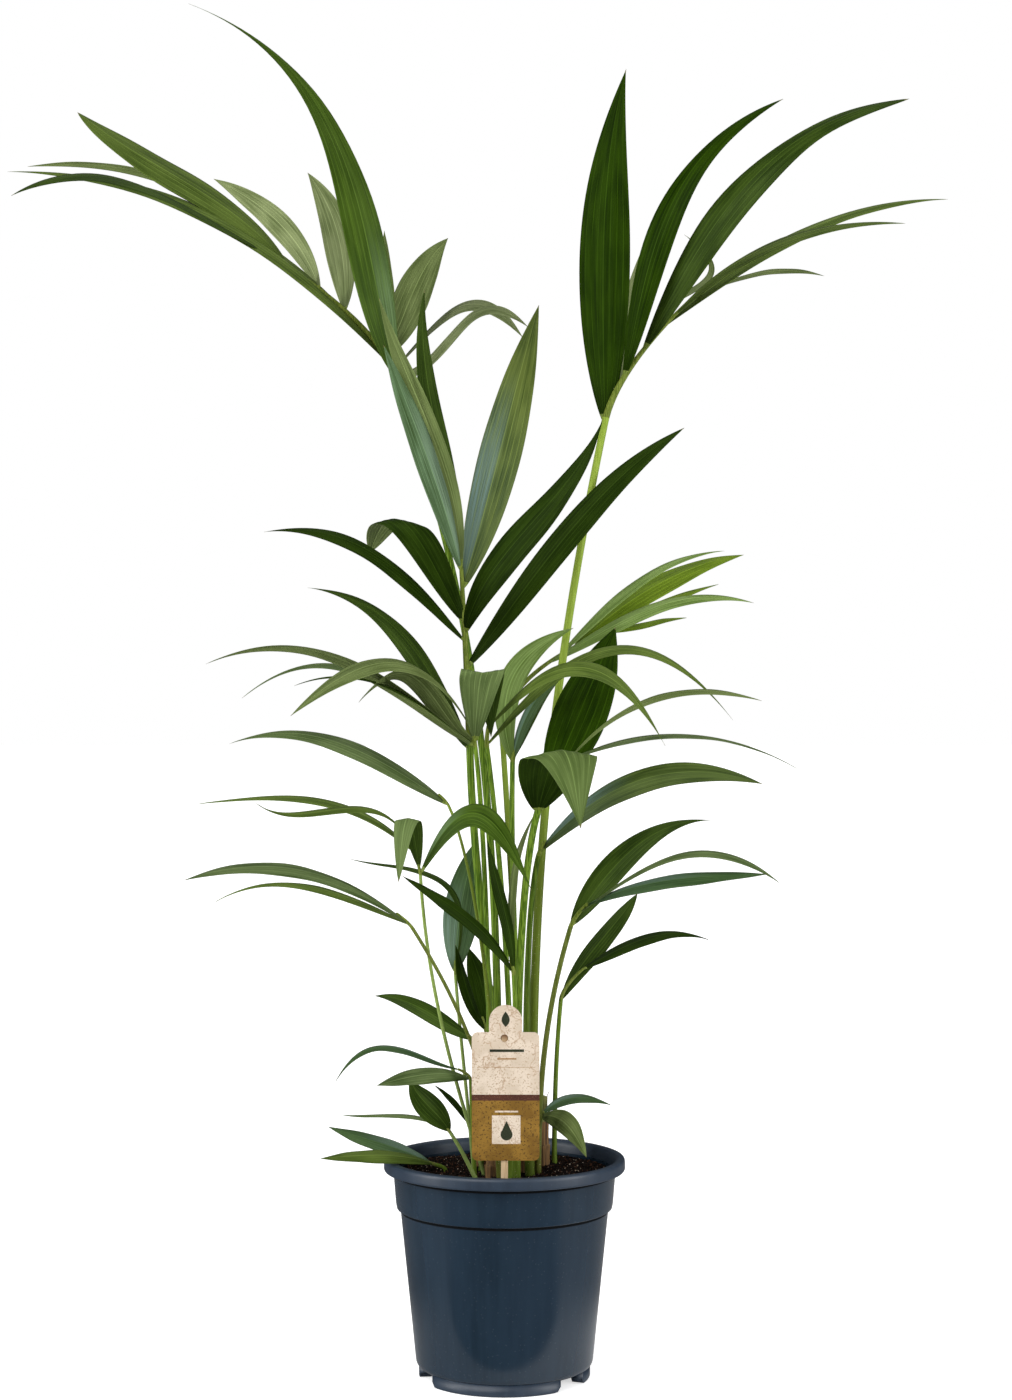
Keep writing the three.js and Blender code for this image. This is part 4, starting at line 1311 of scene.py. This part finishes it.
# %% [markdown]
# ## Stems
# Each seedling of the clump has a short stem wrapped in old sheaths, the split and dried feet of its
# first fronds. They overlap in lifts, and threads stand off their upper rims. The stem here is a
# grid of rings like the stalks, but each point is pushed in or out: a step at the top of every
# lift, upright ridges and a little unevenness. Loose threads are thin tubes that start on a rim.

# %% Stems
STEM_SIDES = 40
STEM_ROWS = 56
STEM_CLOSING = 0.35
SHEATHS = 3
SHEATH_STEP = 1.1
SHEATH_INSET = 0.6
RIDGES = 17
RIDGE_HEIGHT = 0.28
RIDGE_WANDER = 2.2
RIDGE_END = 6
STEMS = [
    dict(name="stem_back_right", at=(33, 22), high=62, foot=7.5, top=4.5),
    dict(name="stem_front_right", at=(19, -19), high=48, foot=7, top=4.5),
    dict(name="stem_middle", at=(4, 6), high=70, foot=7.5, top=4.5),
    dict(name="stem_front_left", at=(-11, -35), high=40, foot=6.5, top=4),
    dict(name="stem_back_left", at=(-21, 21), high=45, foot=6.5, top=4),
]


def taper(stem, share):
    """The stem's own radius at a share of its height."""
    return stem["foot"] + (stem["top"] - stem["foot"]) * share


def sheath_radius(stem, share, turn):
    """Taper, stepped lifts and ridges of a sheathed stem."""
    lift = SHEATH_STEP * ((share * SHEATHS) % 1) ** 2
    wander = turn * RIDGES + RIDGE_WANDER * np.sin(share * 5 + stem["high"])
    ridge = RIDGE_HEIGHT * np.sin(wander) * np.minimum(1, RIDGE_END * (1 - share))
    return taper(stem, share) - SHEATH_INSET + lift + ridge


def add_sheaths(sheaf, stem):
    """The wrapped body of a stem, dry below and green at its top."""
    share = np.linspace(0, 1, STEM_ROWS)[:, None]
    turn = full_turn(STEM_SIDES)
    radius = sheath_radius(stem, np.minimum(share, 0.999), turn)
    radius[-1] *= STEM_CLOSING
    x = stem["at"][0] + radius * np.cos(turn)
    y = stem["at"][1] + radius * np.sin(turn)
    z = SOIL_Z - SINK + share * (stem["high"] + SINK)
    faces, bake = closed_tube(STEM_ROWS, STEM_SIDES, (0.01, 0.6), (0.002, 0.008))
    green = sheaf.number(SHEATH_GREEN)
    dry = sheaf.number(SHEATH)
    finishes = np.full(len(faces), dry)
    top_sheath = np.repeat(share[1:, 0] * SHEATHS > SHEATHS - 1, STEM_SIDES)
    finishes[:len(top_sheath)][top_sheath] = green
    sheaf.add(points_from(x, y, z), faces, bake, finishes)


print("stems:", [stem["name"] for stem in STEMS])

# %% Loose threads
THREADS = 16
THREAD_SIDES = 6
FIRST_THREAD_STRIP = 0.62
THREAD_RADII = np.linspace(0.28, 0.08, 7)
THREAD_RISE = (5, 12)
THREAD_SPREAD = (0.3, 1.6)
THREAD_DROOP = (-1, 1)
RIM_INSET = 0.4
BELOW_RIM = 6
FIRST_STEM_SEED = 90


def add_thread(sheaf, stem, thread, chance):
    """One thin tube that starts on the rim of a sheath and bends away from the stem."""
    rim = (1 + thread % SHEATHS) / SHEATHS
    way = chance.uniform(0, 2 * math.pi)
    out = np.array([math.cos(way), math.sin(way), 0.0])
    base = np.array([*stem["at"], SOIL_Z + rim * stem["high"] - BELOW_RIM])
    base = base + out * (taper(stem, rim) - RIM_INSET)
    rise = np.array([0, 0, chance.uniform(*THREAD_RISE)])
    bend = out * chance.uniform(*THREAD_SPREAD) + np.array([0, 0, chance.uniform(*THREAD_DROOP)])
    corners = [base, base + rise * 0.5, base + rise * 0.8 + bend, base + rise * 0.9 + bend * 2]
    middle = bezier(corners, np.linspace(0, 1, len(THREAD_RADII)))
    left = FIRST_THREAD_STRIP + (1 - FIRST_THREAD_STRIP) * thread / THREADS
    add_tube(sheaf, middle, THREAD_RADII, SHEATH, THREAD_SIDES, (left + 0.012, left + 0.02))


def grow_stem(stem, seed):
    """One sheathed stem with loose threads on the rims of its sheaths."""
    chance = random.Random(seed)
    sheaf = Sheaf()
    add_sheaths(sheaf, stem)
    for thread in range(THREADS):
        add_thread(sheaf, stem, thread, chance)
    return sheaf.build("sheathed_" + stem["name"], [stem["name"]])


for order, stem in enumerate(STEMS):
    grow_stem(stem, FIRST_STEM_SEED + order)
print("stems:", len(STEMS), "with", THREADS, "threads each")

# %% [markdown]
# ## Potting soil
# Nursery soil is dark fibrous peat with a sprinkle of pale mineral grains, and these pale crumbs also
# stand for glints of light on the damp peat, a painted highlight. Seen from above it is never flat: it
# has clods of a few millimetres and loose crumbs in front of them. A height function makes the uneven
# ground, and several thousand crumbs, each one a jittered little body of twenty faces, are strewn over
# it with a seed. Crumbs that are real meshes catch light and shadow in a way that bump does not.

# %% Soil finishes
def soil_finish(name, deep, light, roughness=0.95):
    """Matt crumbly matter of two tones."""
    finish, tree, shader = start_finish(name, roughness, 0.1)
    grain = place_group(tree, "grain", place_in_space(tree), Scale=900)
    tone = mix_colours(tree, remap(tree, grain["Grain"], *SOFT_LIMITS), deep, light)
    cover(tree, shader, tone, grain["Grain"], 0.5)
    return finish


PEAT = soil_finish("peat", (7, 4, 3), (26, 16, 11))
PEAT_BROWN = soil_finish("peat_brown", (36, 21, 14), (78, 50, 35))
# Pale mineral crumbs, which also stand for glints of light on the damp peat: partly painted highlight.
GRIT_AND_GLINT = soil_finish("grit_and_glint", (150, 134, 116), (206, 190, 172), 0.8)
print("soil finishes: 3")

# %% The ground
SOIL_R = 94.2
SOIL_HEAP = 0.9
SOIL_EDGE_R = 74
SOIL_EDGE_DROP = 3
SOIL_DEPTHS = (8, 30)
CENTRE_R = 0.4
BASE_RADII = [SOIL_R - 0.3, 90, CENTRE_R]
EDGE_CALM = 0.6
MAP_ROOM = 2.2
HIDDEN_MAP = 0.05
GROUND_RINGS = 110
GROUND_SIDES = 260
GROUND_WAVES = 26
WAVE_RATES = (0.08, 0.9)
WAVE_HEIGHT = 0.16
SLOW_WAVES = 0.35
ground_chance = random.Random(7)
WAVES = [
    [ground_chance.uniform(*limits) for limits in (WAVE_RATES, (0, WAVE_TURN), (0, WAVE_TURN))]
    for wave in range(GROUND_WAVES)
]


def ground_height(x, y):
    """Height of the uneven soil over a place in the pot."""
    height = 0
    for rate, way, phase in WAVES:
        wave = np.sin(rate * (x * math.cos(way) + y * math.sin(way)) + phase)
        height = height + wave * WAVE_HEIGHT / (SLOW_WAVES + rate)
    edge = np.clip((np.hypot(x, y) - SOIL_EDGE_R) / (SOIL_R - SOIL_EDGE_R), 0, 1)
    return SOIL_Z + SOIL_HEAP + height * (1 - EDGE_CALM * edge) - SOIL_EDGE_DROP * edge**2


def lay_soil():
    """The ground: a lumpy top that turns down into a side wall and a flat base."""
    reach = np.concatenate([np.linspace(CENTRE_R, SOIL_R, GROUND_RINGS), BASE_RADII])[:, None]
    turn = full_turn(GROUND_SIDES)
    x = reach * np.cos(turn)
    y = reach * np.sin(turn)
    z = ground_height(x, y)
    z[GROUND_RINGS] = SOIL_Z - SOIL_DEPTHS[0]
    z[GROUND_RINGS + 1:] = SOIL_Z - SOIL_DEPTHS[1]
    grid = np.arange(x.size).reshape(x.shape)
    caps = np.array(cap_faces(grid[0], True) + cap_faces(grid[-1], False))
    faces = np.concatenate([grid_faces(grid, wrap=True), caps])
    flat = np.stack([x, y], axis=-1) / (MAP_ROOM * SOIL_R) + 0.5
    flat[GROUND_RINGS:] *= HIDDEN_MAP
    around = np.concatenate([flat, flat[:, :1]], axis=1)
    bake = np.concatenate([corner_map(around), grid_map(len(caps) + 1, 2, 0.96, 0.99)])
    sheaf = Sheaf()
    sheaf.add(points_from(x, y, z), faces, bake, PEAT)
    return sheaf.build("soil_ground", ["soil"])


ground = lay_soil()
print("ground rises", round(max(v.co.z for v in ground.data.vertices) / MM - SOIL_Z, 1), "mm")

# %% Loose crumbs
CRUMBS = 8200
CRUMB_SIZES = (0.7, 2.4)
CRUMB_SHARES = [0.66, 0.26, 0.08]
GRIT_AND_GLINT_KIND = 2
GRIT_AND_GLINT_SIZE = 0.65
SMALL_ONES = 2.6
CRUMB_REACH = SOIL_R - 2.5
CRUMB_STRETCH = (0.55, 1.25)
CRUMB_JITTER = (0.75, 1.2)
CRUMB_LIFT = (-0.05, 0.4)


def twenty_faces():
    """The corners and faces of a body of twenty triangles."""
    bm = bmesh.new()
    bmesh.ops.create_icosphere(bm, subdivisions=1, radius=1)
    corners = np.array([v.co for v in bm.verts], float)
    faces = [[v.index for v in face.verts] for face in bm.faces]
    bm.free()
    return corners, np.array(faces)


def turned_about_z(body, spin):
    """Each body turned by its own angle."""
    x, y, z = np.moveaxis(body, -1, 0)
    cos, sin = np.cos(spin)[:, None], np.sin(spin)[:, None]
    return np.stack([x * cos - y * sin, x * sin + y * cos, z], axis=-1)


def strew_crumbs():
    """Many small uneven bodies, lying on and half in the ground."""
    rng = np.random.default_rng(12)
    corners, faces = twenty_faces()
    reach = np.sqrt(rng.uniform(0, 1, CRUMBS)) * CRUMB_REACH
    turn = rng.uniform(0, 2 * math.pi, CRUMBS)
    x = reach * np.cos(turn)
    y = reach * np.sin(turn)
    kind = rng.choice([0, 1, GRIT_AND_GLINT_KIND], CRUMBS, p=CRUMB_SHARES)
    least, most = CRUMB_SIZES
    size = least + (most - least) * rng.uniform(0, 1, CRUMBS) ** SMALL_ONES
    size = np.where(kind == GRIT_AND_GLINT_KIND, GRIT_AND_GLINT_SIZE * size, size)
    stretch = rng.uniform(*CRUMB_STRETCH, (CRUMBS, 1, 3)) * size[:, None, None] / 2
    jitter = rng.uniform(*CRUMB_JITTER, (CRUMBS, len(corners), 1))
    spin = rng.uniform(0, 2 * math.pi, CRUMBS)
    body = turned_about_z(corners[None] * jitter * stretch, spin)
    lift = size * rng.uniform(*CRUMB_LIFT, CRUMBS)
    middle = np.stack([x, y, ground_height(x, y) + lift], axis=-1)
    points = (body + middle[:, None]).reshape(-1, 3) * MM
    firsts = (np.arange(CRUMBS) * len(corners))[:, None, None]
    mesh = bpy.data.meshes.new("soil_crumbs")
    mesh.from_pydata(points.tolist(), [], (faces[None] + firsts).reshape(-1, 3).tolist())
    for finish in (PEAT, PEAT_BROWN, GRIT_AND_GLINT):
        mesh.materials.append(finish)
    mesh.polygons.foreach_set("material_index", np.repeat(kind, len(faces)).astype(np.int32))
    return settle("soil_crumbs", mesh)


crumbs = strew_crumbs()
print("crumbs:", CRUMBS, "faces:", len(crumbs.data.polygons))

# %% [markdown]
# ## The nursery pot
# The pot is injection moulded: one thin wall with a rolled rim, a deeper collar so that empty pots
# stack, a ledge under it, and three low feet with gaps between them for water. It is a lathe shape, so
# its profile is drawn once and turned round the axis. Every corner of the profile gets a small arc,
# because a moulded edge is never sharp and the rounding is what catches a line of light. The rim and
# the feet are rubbed matt by handling. The corners under the rim and the collar get painted shade: a
# dark matt finish stands for the shadow there.

# %% Pot finish
FLOW_SHARE = 0.45
DUST_SHARE = 0.06
DUST = (120, 126, 130)


def pot_finish(name, deep, light, flow_tone, roughness):
    """Slate-blue plastic with faint upright flow marks and sparse dust."""
    finish, tree, shader = start_finish(name, roughness, 0.5)
    place = place_in_space(tree)
    fibres = place_group(tree, "fibres", place, Fineness=130)
    grain = place_group(tree, "grain", place, Scale=240)
    tone = mix_colours(tree, fibres["Blotch"], deep, light)
    tone = mix_colours(tree, times(tree, fibres["Streak"], FLOW_SHARE), tone, flow_tone)
    tone = mix_colours(tree, times(tree, grain["Specks"], DUST_SHARE), tone, DUST)
    tree.links.new(tone, shader.inputs["Base Color"])
    gloss = remap(tree, fibres["Blotch"], 0, 1, roughness - 0.03, roughness + 0.03)
    tree.links.new(gloss, shader.inputs["Roughness"])
    return finish


SLATE = pot_finish("slate_plastic", (24, 38, 50), (29, 44, 58), (34, 50, 64), 0.16)
SLATE_RIM = pot_finish("slate_rim", (33, 45, 60), (38, 51, 66), (44, 58, 74), 0.4)
# Painted shade: a dark matt finish stands for the shadow in the corners under the rim and the collar.
PAINTED_SHADE_CREASE = soil_finish("painted_shade_crease", (9, 12, 15), (16, 19, 22), 0.9)
print("pot finishes:", SLATE.name, SLATE_RIM.name, PAINTED_SHADE_CREASE.name)

# %% Turning a profile
def round_corners(corners, steps=5):
    """Replaces each corner of a profile by an arc-like curve of its own radius."""
    rounded = []
    for i, (r, z, radius) in enumerate(corners):
        here = np.array([r, z], float)
        if radius == 0:
            rounded.append(here)
            continue
        ends = []
        for neighbour in (corners[i - 1], corners[i + 1]):
            way = np.array(neighbour[:2], float) - here
            ends.append(here + unit(way) * min(radius, np.linalg.norm(way) / 2))
        rounded.extend(bezier([ends[0], here, ends[1]], np.linspace(0, 1, steps)))
    return np.array(rounded)


def split_long(profile, longest=9):
    """Adds points to the long straights, so that faces stay even."""
    points = [profile[0]]
    for a, b in zip(profile, profile[1:]):
        parts = max(1, math.ceil(np.linalg.norm(b - a) / longest))
        points.extend(a + (b - a) * (k + 1) / parts for k in range(parts))
    return np.array(points)


def lathe(profile, turn):
    """Carries a profile round the axis to each angle."""
    r, z = profile[:, :1], profile[:, 1:]
    return points_from(r * np.cos(turn), r * np.sin(turn), z)


print("a corner becomes", len(round_corners([(0, 0, 0), (9, 0, 2), (9, 9, 0)])) - 2, "points")

# %% Feet of the pot
FOOT_R = 74.5
FOOT_W = 11
FOOT_TOP = 10.4
FOOT_END = 5
FOOT_ARC = 96
FOOT_SIDES = 44
FOOT_TURNS = (-98, 22, 142)
FOOT_PROFILE = [
    (FOOT_R - FOOT_W, FOOT_TOP, 0), (FOOT_R - FOOT_W, 0, 1), (FOOT_R - 1, 0, 1), (FOOT_R, 1, 0.8),
    (FOOT_R, FOOT_TOP, 0),
]


def add_foot(sheaf, turn, left):
    """A low curved foot, closed at both ends."""
    profile = round_corners(FOOT_PROFILE)
    degrees = np.linspace(turn - FOOT_ARC / 2, turn + FOOT_ARC / 2, FOOT_SIDES)
    points = lathe(profile, np.radians(degrees))
    rounding = np.clip((np.abs(degrees - turn) - FOOT_ARC / 2 + FOOT_END) / FOOT_END, 0, 1)
    lift = FOOT_END * (1 - np.sqrt(1 - rounding**2))
    points[:, 2] = np.maximum(points[:, 2], np.tile(lift, len(profile)))
    grid = np.arange(len(points)).reshape(len(profile), FOOT_SIDES)
    wall = grid_faces(grid)[:, ::-1]
    lid = grid_faces(np.stack([grid[0], grid[-1]]))
    ends = np.array(cap_faces(grid[:, 0], True) + cap_faces(grid[:, -1], False))
    faces = np.concatenate([wall, lid, ends])
    bake = np.concatenate(
        [
            grid_map(len(profile), FOOT_SIDES, left, left + 0.02)[:, ::-1],
            grid_map(2, FOOT_SIDES, left + 0.021, left + 0.024),
            grid_map(len(ends) + 1, 2, left + 0.025, left + 0.028),
        ]
    )
    sheaf.add(points, faces, bake, SLATE_RIM)


print("feet:", len(FOOT_TURNS), "each", FOOT_ARC, "degrees long")

# %% Pot shape
POT_SIDES = 224
RIM_Z = 179
POT_PROFILE = [
    (0.4, 0, 0), (31, 0, 0.8), (33, 9, 1), (72, 9, 1), (75.5, 11, 1.5), (77, 14, 2), (90.4, 143.8, 0.3),
    (90.6, 146, 0.3), (93.7, 146.8, 0.6), (94.5, 151, 2), (96.6, 176.2, 0.3), (96.8, 179, 0.4),
    (104.2, 179.5, 0.5), (105, 180.6, 0.7), (105, 187.8, 1.2), (104, 189.8, 1), (98.2, 190, 1.5),
    (95.6, 186.4, 2), (94.6, 179.5, 2), (92, 148.5, 2), (88.6, 144, 2), (75.1, 17, 3), (72.1, 12, 2),
    (0.4, 12, 0),
]
PAINTED_SHADE_CREASES = [((90, 105), (143.8, 146.8)), ((96.5, 104.4), (176.2, 179.8))]


def inside(value, limits):
    """Where a value lies between two limits."""
    return (value > limits[0]) & (value < limits[1])


def in_painted_shade(middle):
    """Which steps of the profile lie in the corners under the collar and under the rim, which get
    painted shade.
    """
    r, z = middle.T
    return np.any([inside(r, wide) & inside(z, high) for wide, high in PAINTED_SHADE_CREASES], axis=0)


def mould_pot():
    """The pot's wall, rim and floor, with its three feet."""
    sheaf = Sheaf()
    profile = split_long(round_corners(POT_PROFILE))
    points = lathe(profile, full_turn(POT_SIDES))
    faces, bake = closed_tube(len(profile), POT_SIDES, (0.01, 0.9), (0.002, 0.006))
    slate, rim, painted_shade = [sheaf.number(finish) for finish in (SLATE, SLATE_RIM, PAINTED_SHADE_CREASE)]
    middle = (profile[:-1] + profile[1:]) / 2
    # Faces in those corners take the painted shade, faces above the rim the rim finish.
    kinds = np.select([in_painted_shade(middle), middle[:, 1] > RIM_Z], [painted_shade, rim], slate)
    wall = np.repeat(kinds, POT_SIDES)
    finishes = np.concatenate([wall, np.full(len(faces) - len(wall), slate)])
    sheaf.add(points, faces, bake, finishes)
    for order, turn in enumerate(FOOT_TURNS):
        add_foot(sheaf, turn, 0.91 + 0.03 * order)
    return sheaf.build("moulded_pot", ["pot"])


pot = mould_pot()
print("pot:", len(pot.data.polygons), "faces")

# %% [markdown]
# ## The label and its stick
# A care label is a printed card with a round-headed tab, threaded on a flat bamboo stick: the end of
# the stick shows through a small hole. The card is cut out as a flat outline with a hole, which
# Blender fills with faces. Straight cuts then part it into its printed fields, cream above, a dark
# stripe, ochre below with a cream square, so each field has a clean edge and a finish of its own.
# The fields stay free of words. A plain leaf and a plain drop, common care signs, fill the two places
# where a label carries a mark. At the end points and faces are sorted along one slanting direction, so
# that they come in the same order each time.

# %% Label finishes
CLOUD_SCALE = 70
LINE_HALF_WIDTH = 0.012
LINE_STRENGTH = 0.6
DOT_LIMITS = (0.56, 0.62)
WORN_LIMITS = (0.36, 0.5)
WORN_SHARES = (0.2, 0.85)


def print_finish(name, deep, light, specks, fineness, lines, speck_scale=900):
    """Printed card: an even tone with mottling, worn specks and thin wandering lines."""
    finish, tree, shader = start_finish(name, 0.55, 0.3)
    place = place_in_space(tree)
    scales = (CLOUD_SCALE, speck_scale, fineness)
    cloud, fine, coast = [place_group(tree, "grain", place, Scale=scale)["Grain"] for scale in scales]
    tone = mix_colours(tree, remap(tree, cloud, *SOFT_LIMITS), deep, light)
    level = join_values(tree, "ABSOLUTE", join_values(tree, "SUBTRACT", coast, 0.5))
    drawn = times(tree, remap(tree, level, 0.0, LINE_HALF_WIDTH, *FALLING), LINE_STRENGTH)
    tone = mix_colours(tree, drawn, tone, lines)
    worn = remap(tree, cloud, *WORN_LIMITS, *WORN_SHARES)
    tone = mix_colours(tree, times(tree, remap(tree, fine, *DOT_LIMITS), worn), tone, specks)
    cover(tree, shader, tone, fine, 0.02)
    return finish


PRINT_TONES = {
    "cream": ((194, 178, 158), (209, 194, 176), (164, 140, 114), 26, (158, 126, 96), 760),
    "stripe": ((66, 34, 24), (78, 42, 28), (104, 64, 46), 300, (84, 46, 32)),
    "ochre": ((112, 80, 18), (136, 101, 32), (56, 36, 8), 130, (70, 48, 14), 560),
    "ink": ((32, 38, 22), (40, 47, 28), (56, 62, 40), 300, (48, 54, 34)),
    "line": ((142, 108, 66), (156, 120, 76), (176, 144, 104), 300, (150, 116, 72)),
}
PRINTS = [print_finish("card_" + name, *tones) for name, tones in PRINT_TONES.items()]
CREAM, STRIPE, OCHRE, INK, LINE = PRINTS
print("label finishes:", len(PRINTS))

# %% Measures of the card
CARD_W = 57
CARD_H = 108
CARD_CORNER = 5
CARD_THICK = 0.8
CARD_X = 1
CARD_FRONT_Y = -76
CARD_LOW_Z = 200.5
TAB_R = 14
TAB_H = 23
STRIPE_Z = (50.5, 55.5)
SQUARE_X = (-11.5, 12.5)
SQUARE_Z = (14, 38)
EXTRA_CUTS_X = (-20, 20)
EXTRA_CUTS_Z = (26, 66, 78, 90, 116)
HOLE_Z = CARD_H - 5
HOLE_R = 3.2
PRINT_THICK = 0.1
SORTING_WAY = Vector((1, 31.7, 1013))


def arc(middle_x, middle_z, radius, start, end, steps=10):
    """Points of an arc, in degrees."""
    turn = np.radians(np.linspace(start, end, steps))
    return [(middle_x + radius * math.cos(a), middle_z + radius * math.sin(a)) for a in turn]


def card_outline():
    """The card's edge, from its lower right corner round to the left."""
    half = CARD_W / 2 - CARD_CORNER
    high = CARD_H - CARD_CORNER
    points = arc(half, CARD_CORNER, CARD_CORNER, -90, 0)
    points += arc(half, high, CARD_CORNER, 0, 90)
    points += [(TAB_R, CARD_H)]
    points += arc(0, CARD_H + TAB_H - TAB_R, TAB_R, 0, 180, 34)
    points += [(-TAB_R, CARD_H)]
    points += arc(-half, high, CARD_CORNER, 90, 180)
    points += arc(-half, CARD_CORNER, CARD_CORNER, 180, 270)
    return points


def leaf_sign(x, z, long, wide):
    """The outline of a plain pointed leaf."""
    shares = np.linspace(0, 1, 15)
    bulge = wide * np.sin(math.pi * shares**0.9)
    right = [(x + b, z + long * s) for b, s in zip(bulge, shares)]
    left = [(x - b, z + long * s) for b, s in zip(bulge, shares)]
    return right + left[-2:0:-1]


def drop_sign(x, z, radius):
    """The outline of a plain drop of water."""
    return arc(x, z, radius, -220, 40, 22) + [(x, z + 2.3 * radius)]


def rule(left, right, low, high):
    """The outline of a printed bar."""
    return [(left, low), (right, low), (right, high), (left, high)]


SIGNS = [
    (leaf_sign(0, 112.5, 13, 3.4), INK),
    (drop_sign(0.75, 22, 5), INK),
    (rule(-13.5, 15.5, 91.4, 93.6), INK),
    (rule(-7, 9, 85, 86.2), LINE),
    (rule(-24, 25, 78.4, 78.7), LINE),
    (rule(-9, 10.5, 40.6, 42), CREAM),
]
print("card outline:", len(card_outline()), "points; signs:", len(SIGNS))

# %% Cutting the card
def add_loop(bm, points):
    """A closed run of edges in the upright plane."""
    verts = [bm.verts.new((x, 0, z)) for x, z in points]
    return [bm.edges.new((a, b)) for a, b in zip(verts, verts[1:] + verts[:1])]


def cut(bm, place, normal):
    """Parts all faces along a plane."""
    everything = bm.verts[:] + bm.edges[:] + bm.faces[:]
    bmesh.ops.bisect_plane(bm, geom=everything, plane_co=place, plane_no=normal)


def field_print(x, z):
    """Which print a place on the card's front has."""
    if inside(z, STRIPE_Z):
        return STRIPE
    in_square = inside(x, SQUARE_X) and inside(z, SQUARE_Z)
    return CREAM if z > STRIPE_Z[1] or in_square else OCHRE


def thicken(bm, faces, front, back):
    """Gives flat faces a front and a back, in millimetres from the front to the back."""
    for face in faces:
        if face.normal.y > 0:
            face.normal_flip()
    made = bmesh.ops.extrude_face_region(bm, geom=faces, use_keep_orig=True)
    moved = [item for item in made["geom"] if isinstance(item, bmesh.types.BMVert)]
    fixed = {vert for face in faces for vert in face.verts}
    bmesh.ops.translate(bm, vec=(0, back, 0), verts=moved)
    bmesh.ops.translate(bm, vec=(0, front, 0), verts=list(fixed))


def add_sign(bm, points, finish):
    """A care sign: a raised print, a little proud of the card."""
    face = bm.faces.new([bm.verts.new((x, 0, z)) for x, z in points])
    face.normal_update()
    face.material_index = PRINTS.index(finish)
    thicken(bm, [face], -PRINT_THICK, PRINT_THICK)


def make_card():
    """The printed card with its hole, its fields and its care signs."""
    bm = bmesh.new()
    edges = add_loop(bm, card_outline())
    edges += add_loop(bm, arc(-CARD_X, HOLE_Z, HOLE_R, 0, 345, 24))
    bmesh.ops.triangle_fill(bm, edges=edges, use_beauty=True)
    for x in (*SQUARE_X, *EXTRA_CUTS_X):
        cut(bm, (x, 0, 0), (1, 0, 0))
    for z in (*STRIPE_Z, *SQUARE_Z, *EXTRA_CUTS_Z):
        cut(bm, (0, 0, z), (0, 0, 1))
    for face in bm.faces:
        face.normal_update()
        middle = face.calc_center_median()
        face.material_index = PRINTS.index(field_print(middle.x, middle.z))
    thicken(bm, bm.faces[:], 0, CARD_THICK)
    for points, finish in SIGNS:
        add_sign(bm, points, finish)
    bmesh.ops.recalc_face_normals(bm, faces=bm.faces[:])
    place = Matrix.Translation((CARD_X, CARD_FRONT_Y - CARD_THICK, CARD_LOW_Z))
    bmesh.ops.transform(bm, matrix=place, verts=bm.verts[:])
    bmesh.ops.scale(bm, vec=(MM, MM, MM), verts=bm.verts[:])
    bm.verts.sort(key=lambda vert: vert.co.dot(SORTING_WAY))
    bm.faces.sort(key=lambda face: face.calc_center_median().dot(SORTING_WAY))
    mesh = bpy.data.meshes.new("printed_card")
    bm.to_mesh(mesh)
    bm.free()
    for finish in PRINTS:
        mesh.materials.append(finish)
    return settle("printed_card", mesh, ["label_card"])


card = make_card()
print("card:", len(card.data.polygons), "faces")

# %% [markdown]
# ## The bamboo stick
# The stick is split bamboo, flat with soft edges, and its top end is rounded. A section with rounded
# corners is carried straight up, and the last rings draw in to close the end.

# %% The bamboo stick
STICK_W = 6
STICK_THICK = 2
STICK_SIDES = 24
STICK_ROWS = 40
STICK_FOOT_Z = 178.3
STICK_TOP_Z = CARD_LOW_Z + CARD_H - 1
STICK_SINK = 0.2
STICK_Y = CARD_FRONT_Y + 0.3 + STICK_THICK / 2
SQUARENESS = 0.55
END_ROWS = 5
END_HIGH = 3
STAIN_HIGH = 9


def wood_finish():
    """Pale split bamboo with fine upright fibres and a stained top end."""
    finish, tree, shader = start_finish("bamboo", 0.6, 0.3)
    place = place_in_space(tree)
    stain = remap(tree, parts_of(tree, place)[2], (STICK_TOP_Z - STAIN_HIGH) * MM, STICK_TOP_Z * MM)
    fibres = place_group(tree, "fibres", place, Fineness=1500)
    tone = mix_colours(tree, fibres["Streak"], (176, 146, 106), (210, 186, 150))
    tone = mix_colours(tree, stain, tone, (112, 76, 46))
    cover(tree, shader, tone, fibres["Streak"], 0.1)
    return finish


def squared(wave):
    """A sine or cosine pushed outward, which makes a circle nearly square."""
    return np.sign(wave) * np.abs(wave) ** SQUARENESS


def make_stick():
    """The flat stick, from the soil to the hole in the card."""
    turn = full_turn(STICK_SIDES)
    across = squared(np.cos(turn)) * STICK_W / 2
    deep = squared(np.sin(turn)) * STICK_THICK / 2
    neck = STICK_TOP_Z - END_HIGH
    straight = np.linspace(STICK_FOOT_Z - STICK_SINK, neck, STICK_ROWS - END_ROWS)
    end = neck + END_HIGH * np.sin(np.linspace(0.3, math.pi / 2, END_ROWS))
    high = np.concatenate([straight, end])[:, None]
    width = np.ones((STICK_ROWS, 1))
    width[-END_ROWS:, 0] = np.cos(np.linspace(0.3, math.pi / 2 - 0.12, END_ROWS))
    y = STICK_Y + deep * np.minimum(1, width * 1.4)
    faces, bake = closed_tube(STICK_ROWS, STICK_SIDES, (0.02, 0.98), (0.002, 0.012))
    sheaf = Sheaf()
    sheaf.add(points_from(across * width, y, high), faces, bake, wood_finish())
    return sheaf.build("bamboo_stick", ["label_stick"])


stick = make_stick()
print("stick:", round(STICK_TOP_Z - STICK_FOOT_Z), "mm long,", len(stick.data.polygons), "faces")
